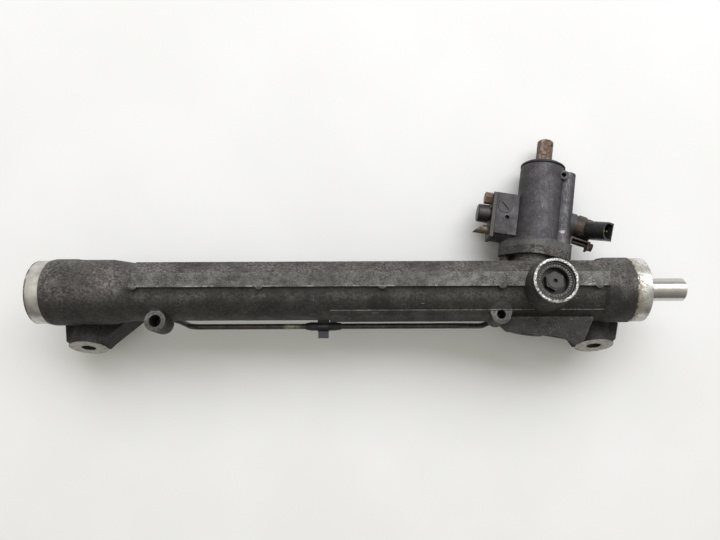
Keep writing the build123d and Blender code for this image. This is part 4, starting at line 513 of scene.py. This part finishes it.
def rusted_material(name, steel, rust, share, size=4.0):
    """Steel under patchy rust, worn bright on its edges."""
    s = Shader(name)
    patch = s.patches(size, 6, 0.7, 0.62 - 0.3 * share, 0.7 - 0.24 * share)
    deep = s.patches(1.6, 4, 0.7, 0.35, 0.7)
    colour = s.mix(patch, steel, s.mix(deep, tuple(0.45 * part for part in rust), rust))
    worn = s.both(s.edges(0.7), s.patches(3, 4, 0.65, 0.4, 0.6))
    colour = s.mix(s.both(worn, 0.8), colour, RUST_WORN)
    rough = s.blend(patch, 0.42, 0.82)
    metal = s.blend(patch, 0.85, 0.15)
    relief = s.math("ADD", s.both(deep, 0.8), s.noise(0.7, 3, 0.7))
    return s.finish(colour, rough, metal, relief, 0.5, 0.3, round_edge=0.5)


def pipe_material():
    """Coated steel tube gone brown, flecked where the coating broke, rubbed pale beside the sleeve."""
    s = Shader("coated_pipe_steel")
    shade = s.mix(s.patches(9, 5, 0.65, 0.36, 0.64), *PIPE_SHADES)
    flecks = s.patches(2.2, 3, 0.65, 0.6, 0.7)
    colour = s.mix(s.both(flecks, 0.55), shade, PIPE_FLECKS)
    middle = sum(RUBBED_STRETCH) / 2
    away = s.math("ABSOLUTE", s.along((1, 0, 0), (middle, 0, 0)))
    rubbed = s.ramp(away, middle - RUBBED_STRETCH[0], 0.005)
    rubbed = s.both(rubbed, s.patches(3, 4, 0.7, 0.3, 0.6))
    colour = s.mix(s.both(rubbed, 0.85), colour, PIPE_RUBBED)
    rough = s.ramp(flecks, 0, 1, 0.42, 0.6)
    return s.finish(colour, rough, 0.35, s.noise(1.0, 3, 0.6), 0.25, 0.15)


# For each slot of the record. Metals: colour, stains, roughness. Rusted: steel, rust, rust's share.
MATERIALS = {
    "cast_aluminium": housing_material(),
    "valve_aluminium": valve_material(),
    "machined_aluminium": metal_material(
        "turned_aluminium", (0.62, 0.615, 0.6), (0.3, 0.28, 0.25), 0.28, spots=0.25),
    "bright_steel": metal_material(
        "ground_steel", (0.62, 0.61, 0.59), (0.3, 0.27, 0.23), 0.2, spots=0.12, size=10, grain=0.08),
    "bearing_steel": metal_material(
        "bearing_steel", (0.6, 0.6, 0.6), (0.4, 0.38, 0.36), 0.15, spots=0.1),
    "spring_steel": metal_material(
        "spring_steel", (0.3, 0.29, 0.28), (0.14, 0.1, 0.08), 0.35, spots=0.3),
    "dark_steel": metal_material(
        "phosphated_steel", (0.05, 0.048, 0.047), (0.1, 0.07, 0.05), 0.5, 0.6, spots=0.3, size=5),
    "rusted_steel": rusted_material("rusted_steel", (0.17, 0.155, 0.15), (0.2, 0.112, 0.068), 0.68),
    "dull_steel": rusted_material(
        "dull_plated_steel", (0.05, 0.044, 0.041), (0.1, 0.06, 0.04), 0.45, size=7),
    "pipe_steel": pipe_material(),
    "bronze": metal_material(
        "bronze", (0.2, 0.155, 0.11), (0.06, 0.042, 0.03), 0.55, 0.6, spots=0.8, size=3),
    "brass_cage": metal_material("brass", (0.72, 0.56, 0.26), (0.4, 0.28, 0.12), 0.25, spots=0.1),
    "copper": metal_material("winding", (0.62, 0.34, 0.2), (0.4, 0.2, 0.1), 0.35, spots=0.1),
    "black_plastic": dull_material(
        "black_plastic", (0.009, 0.009, 0.0095), (0.04, 0.038, 0.036), 0.42),
    "black_rubber": dull_material(
        "black_rubber", (0.009, 0.009, 0.009), (0.04, 0.038, 0.036), 0.6, 0.5),
    "grey_rubber": dull_material(
        "dusty_rubber", (0.012, 0.012, 0.013), (0.036, 0.035, 0.035), 0.6, 0.5),
}
# Nodes whose surface differs from the rest of their slot's.
OVERRIDES = {
    "valve_housing_bolts": rusted_material(
        "grimy_steel", (0.045, 0.04, 0.037), (0.075, 0.045, 0.03), 0.5),
    "pinion_end_cap": metal_material(
        "grimy_aluminium", (0.06, 0.056, 0.05), (0.03, 0.027, 0.024), 0.6, 0.4, spots=0.6, size=6),
    "pipe_clip": metal_material(
        "banded_steel", (0.028, 0.029, 0.033), (0.1, 0.1, 0.105), 0.4, 0.6, spots=0.3, size=4),
}

for subpart in frame["record"]["subparts"]:
    piece = frame["nodes"][subpart["node"]]
    piece.data.materials.clear()
    piece.data.materials.append(OVERRIDES.get(subpart["node"], MATERIALS[subpart["material_slot"]]))


# ------------------------------------------------------------- pieces around the adjuster plug
def ring_sheet(name, frame_matrix, radii, turns, height, material, body):
    """A ring whose upper face follows height(radius, angle), closed by a flat back."""
    mesh = bmesh.new()
    rows = []
    for number in range(turns):
        angle = math.tau * number / turns
        profile = [(radius, height(radius, angle)) for radius in radii]
        profile += [(radius, -RING_SINK * MM) for radius in (radii[-1], radii[0])]
        rows.append([
            mesh.verts.new((radius * math.cos(angle), radius * math.sin(angle), level))
            for radius, level in profile
        ])
    for number, row in enumerate(rows):
        following = rows[(number + 1) % turns]
        for place in range(len(row)):
            beyond = (place + 1) % len(row)
            mesh.faces.new((row[place], row[beyond], following[beyond], following[place]))
    bmesh.ops.recalc_face_normals(mesh, faces=mesh.faces)
    data = bpy.data.meshes.new(name)
    mesh.to_mesh(data)
    mesh.free()
    data.transform(frame_matrix)
    for polygon in data.polygons:
        polygon.use_smooth = True
    data.materials.append(material)
    piece = bpy.data.objects.new(name, data)
    bpy.context.scene.collection.objects.link(piece)
    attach(piece, body)
    return piece


def hammered(radius, angle):
    """Height of the peened rim: a rounded bead broken up by hammer marks, inside the CAD box."""
    share = (radius - RIM_RADII[0]) / (RIM_RADII[-1] - RIM_RADII[0])
    bead = math.sqrt(max(0.0, 1 - (2 * share - 1) ** 2))
    place = Vector((radius * math.cos(angle), radius * math.sin(angle), 0))
    marks = noise.fractal(place / (HAMMER_MARK * MM), 0.7, 2.0, 3)
    room = (cad_box[1][2] - (rim_frame @ place).z) / YOKE_AXIS.z
    return min((RIM_LIFT + bead * (RIM_BEAD + RIM_DENTS * marks)) * MM, room - RIM_CLEARANCE)


def serrated(radius, angle):
    """Height of the plug's ring of radial notches."""
    inside = min(radius - NOTCH_RADII[0], NOTCH_RADII[-1] - radius) > NOTCH_BORDER
    ridge = 0.5 + 0.5 * math.cos(NOTCHES * angle)
    return (NOTCH_LIFT + (NOTCH_HEIGHT * ridge ** 0.6 if inside else 0.0)) * MM


def peened_material():
    s = Shader("peened_metal")
    colour, pits = peened(s)
    rough = s.blend(pits, 0.32, 0.75)
    metal = s.blend(pits, 0.9, 0.15)
    return s.finish(colour, rough, metal, s.noise(0.9, 4, 0.7), 0.6, 0.3)


def notched_material():
    """Dark steel, rubbed grey on the tops of the notches."""
    s = Shader("notched_steel")
    height = s.along(YOKE_AXIS, YOKE_CENTRE + YOKE_AXIS * NOTCH_FLOOR)
    rubbed = s.both(s.ramp(height, 0.35 * MM, 0.85 * MM), s.patches(3, 4, 0.7, 0.42, 0.62))
    colour = s.mix(rubbed, *NOTCH_SHADES)
    return s.finish(colour, 0.5, 0.5, s.noise(0.7, 3, 0.6), 0.3, 0.15)


ring_sheet(
    "peened_rim", rim_frame, RIM_RADII, RIM_TURNS, hammered,
    peened_material(), "housing",
)
ring_sheet(
    "plug_notches", notch_frame, NOTCH_RADII, NOTCH_TURNS, serrated,
    notched_material(), "housing",
)


# ------------------------------------------------------------- stage and light
def floor_material():
    s = Shader("pale_floor")
    s.bsdf.inputs["Specular IOR Level"].default_value = 0.1
    return s.finish(s.mix(s.patches(220, 3, 0.5, 0.35, 0.7), *FLOOR_SHADES), 0.9, 0.0)


def area_light(name, place, size, power, colour):
    lamp = bpy.data.lights.new(name, "AREA")
    lamp.shape = "RECTANGLE"
    lamp.size, lamp.size_y = size
    lamp.energy = power
    lamp.color = colour
    holder = bpy.data.objects.new(name, lamp)
    holder.location = place
    holder.rotation_mode = "QUATERNION"
    towards_part = Vector(STAGE_MIDDLE) - Vector(place)
    holder.rotation_quaternion = towards_part.to_track_quat("-Z", "Y")
    bpy.context.scene.collection.objects.link(holder)


floor_place = (STAGE_MIDDLE[0], STAGE_MIDDLE[1], cad_box[0][2] - FLOOR_GAP)
bpy.ops.mesh.primitive_plane_add(size=FLOOR_SIZE, location=floor_place)
floor = bpy.context.object
floor.name = "floor"
floor.data.materials.append(floor_material())

area_light("window_light", (0.85, 2.05, 2.25), size=(4.0, 1.8), power=100, colour=(0.94, 0.945, 1))
area_light("overhead_light", (0.33, 0.1, 1.7), size=(1.6, 0.7), power=2.6, colour=(0.97, 0.98, 1))

world = bpy.data.worlds.new("pale_room")
bpy.context.scene.world = world
world.use_nodes = True
tree = world.node_tree
background = tree.nodes["Background"]
direction = tree.nodes.new("ShaderNodeTexCoord").outputs["Generated"]
ray = tree.nodes.new("ShaderNodeLightPath").outputs


def feed_all(sockets, values):
    """Gives a world node's sockets their values or links."""
    for socket, value in zip(sockets, values):
        if isinstance(value, bpy.types.NodeSocket):
            tree.links.new(value, socket)
        else:
            socket.default_value = value


def calculate(operation, *values):
    made = tree.nodes.new("ShaderNodeMath")
    made.operation = operation
    feed_all(made.inputs, values)
    return made.outputs["Value"]


def towards(way):
    """1 in a direction, falling to -1 in the opposite one."""
    made = tree.nodes.new("ShaderNodeVectorMath")
    made.operation = "DOT_PRODUCT"
    feed_all(made.inputs, (direction, way))
    return made.outputs["Value"]


def choose(share, first, second, kind="FLOAT"):
    made = tree.nodes.new("ShaderNodeMix")
    made.data_type = kind
    feed_all([socket for socket in made.inputs if socket.enabled], (share, first, second))
    return next(socket for socket in made.outputs if socket.enabled)


# The room is brighter on the window's side and overhead, and pale wherever it is seen directly.
window_side = calculate("MULTIPLY_ADD", towards(WINDOW_WAY), 0.5, 0.5)
overhead = calculate("POWER", calculate("MAXIMUM", towards(CEILING_WAY), 0.0), CEILING_SHARPNESS)
lit = calculate("MULTIPLY_ADD", window_side, *ROOM_LIT)
mirrored = calculate("MULTIPLY_ADD", window_side, *ROOM_MIRRORED)
mirrored = calculate("MULTIPLY_ADD", overhead, CEILING_GLOW, mirrored)
seen = calculate("MAXIMUM", ray["Is Camera Ray"], ray["Is Transmission Ray"])
strength = choose(seen, choose(ray["Is Glossy Ray"], lit, mirrored), ROOM_PALENESS)
tree.links.new(strength, background.inputs["Strength"])
tree.links.new(choose(seen, ROOM_TINT, WHITE, "RGBA"), background.inputs["Color"])

camera = bpy.data.objects.new("camera", bpy.data.cameras.new("camera"))
bpy.context.scene.collection.objects.link(camera)
camera.location = CAMERA_PLACE
camera.rotation_euler = (0, 0, math.radians(CAMERA_ROLL))
camera.data.lens = CAMERA_LENS
camera.data.sensor_width = SENSOR_WIDTH
camera.data.clip_start = NEAREST_SEEN
bpy.context.scene.camera = camera
bpy.context.scene.view_settings.view_transform = "Standard"
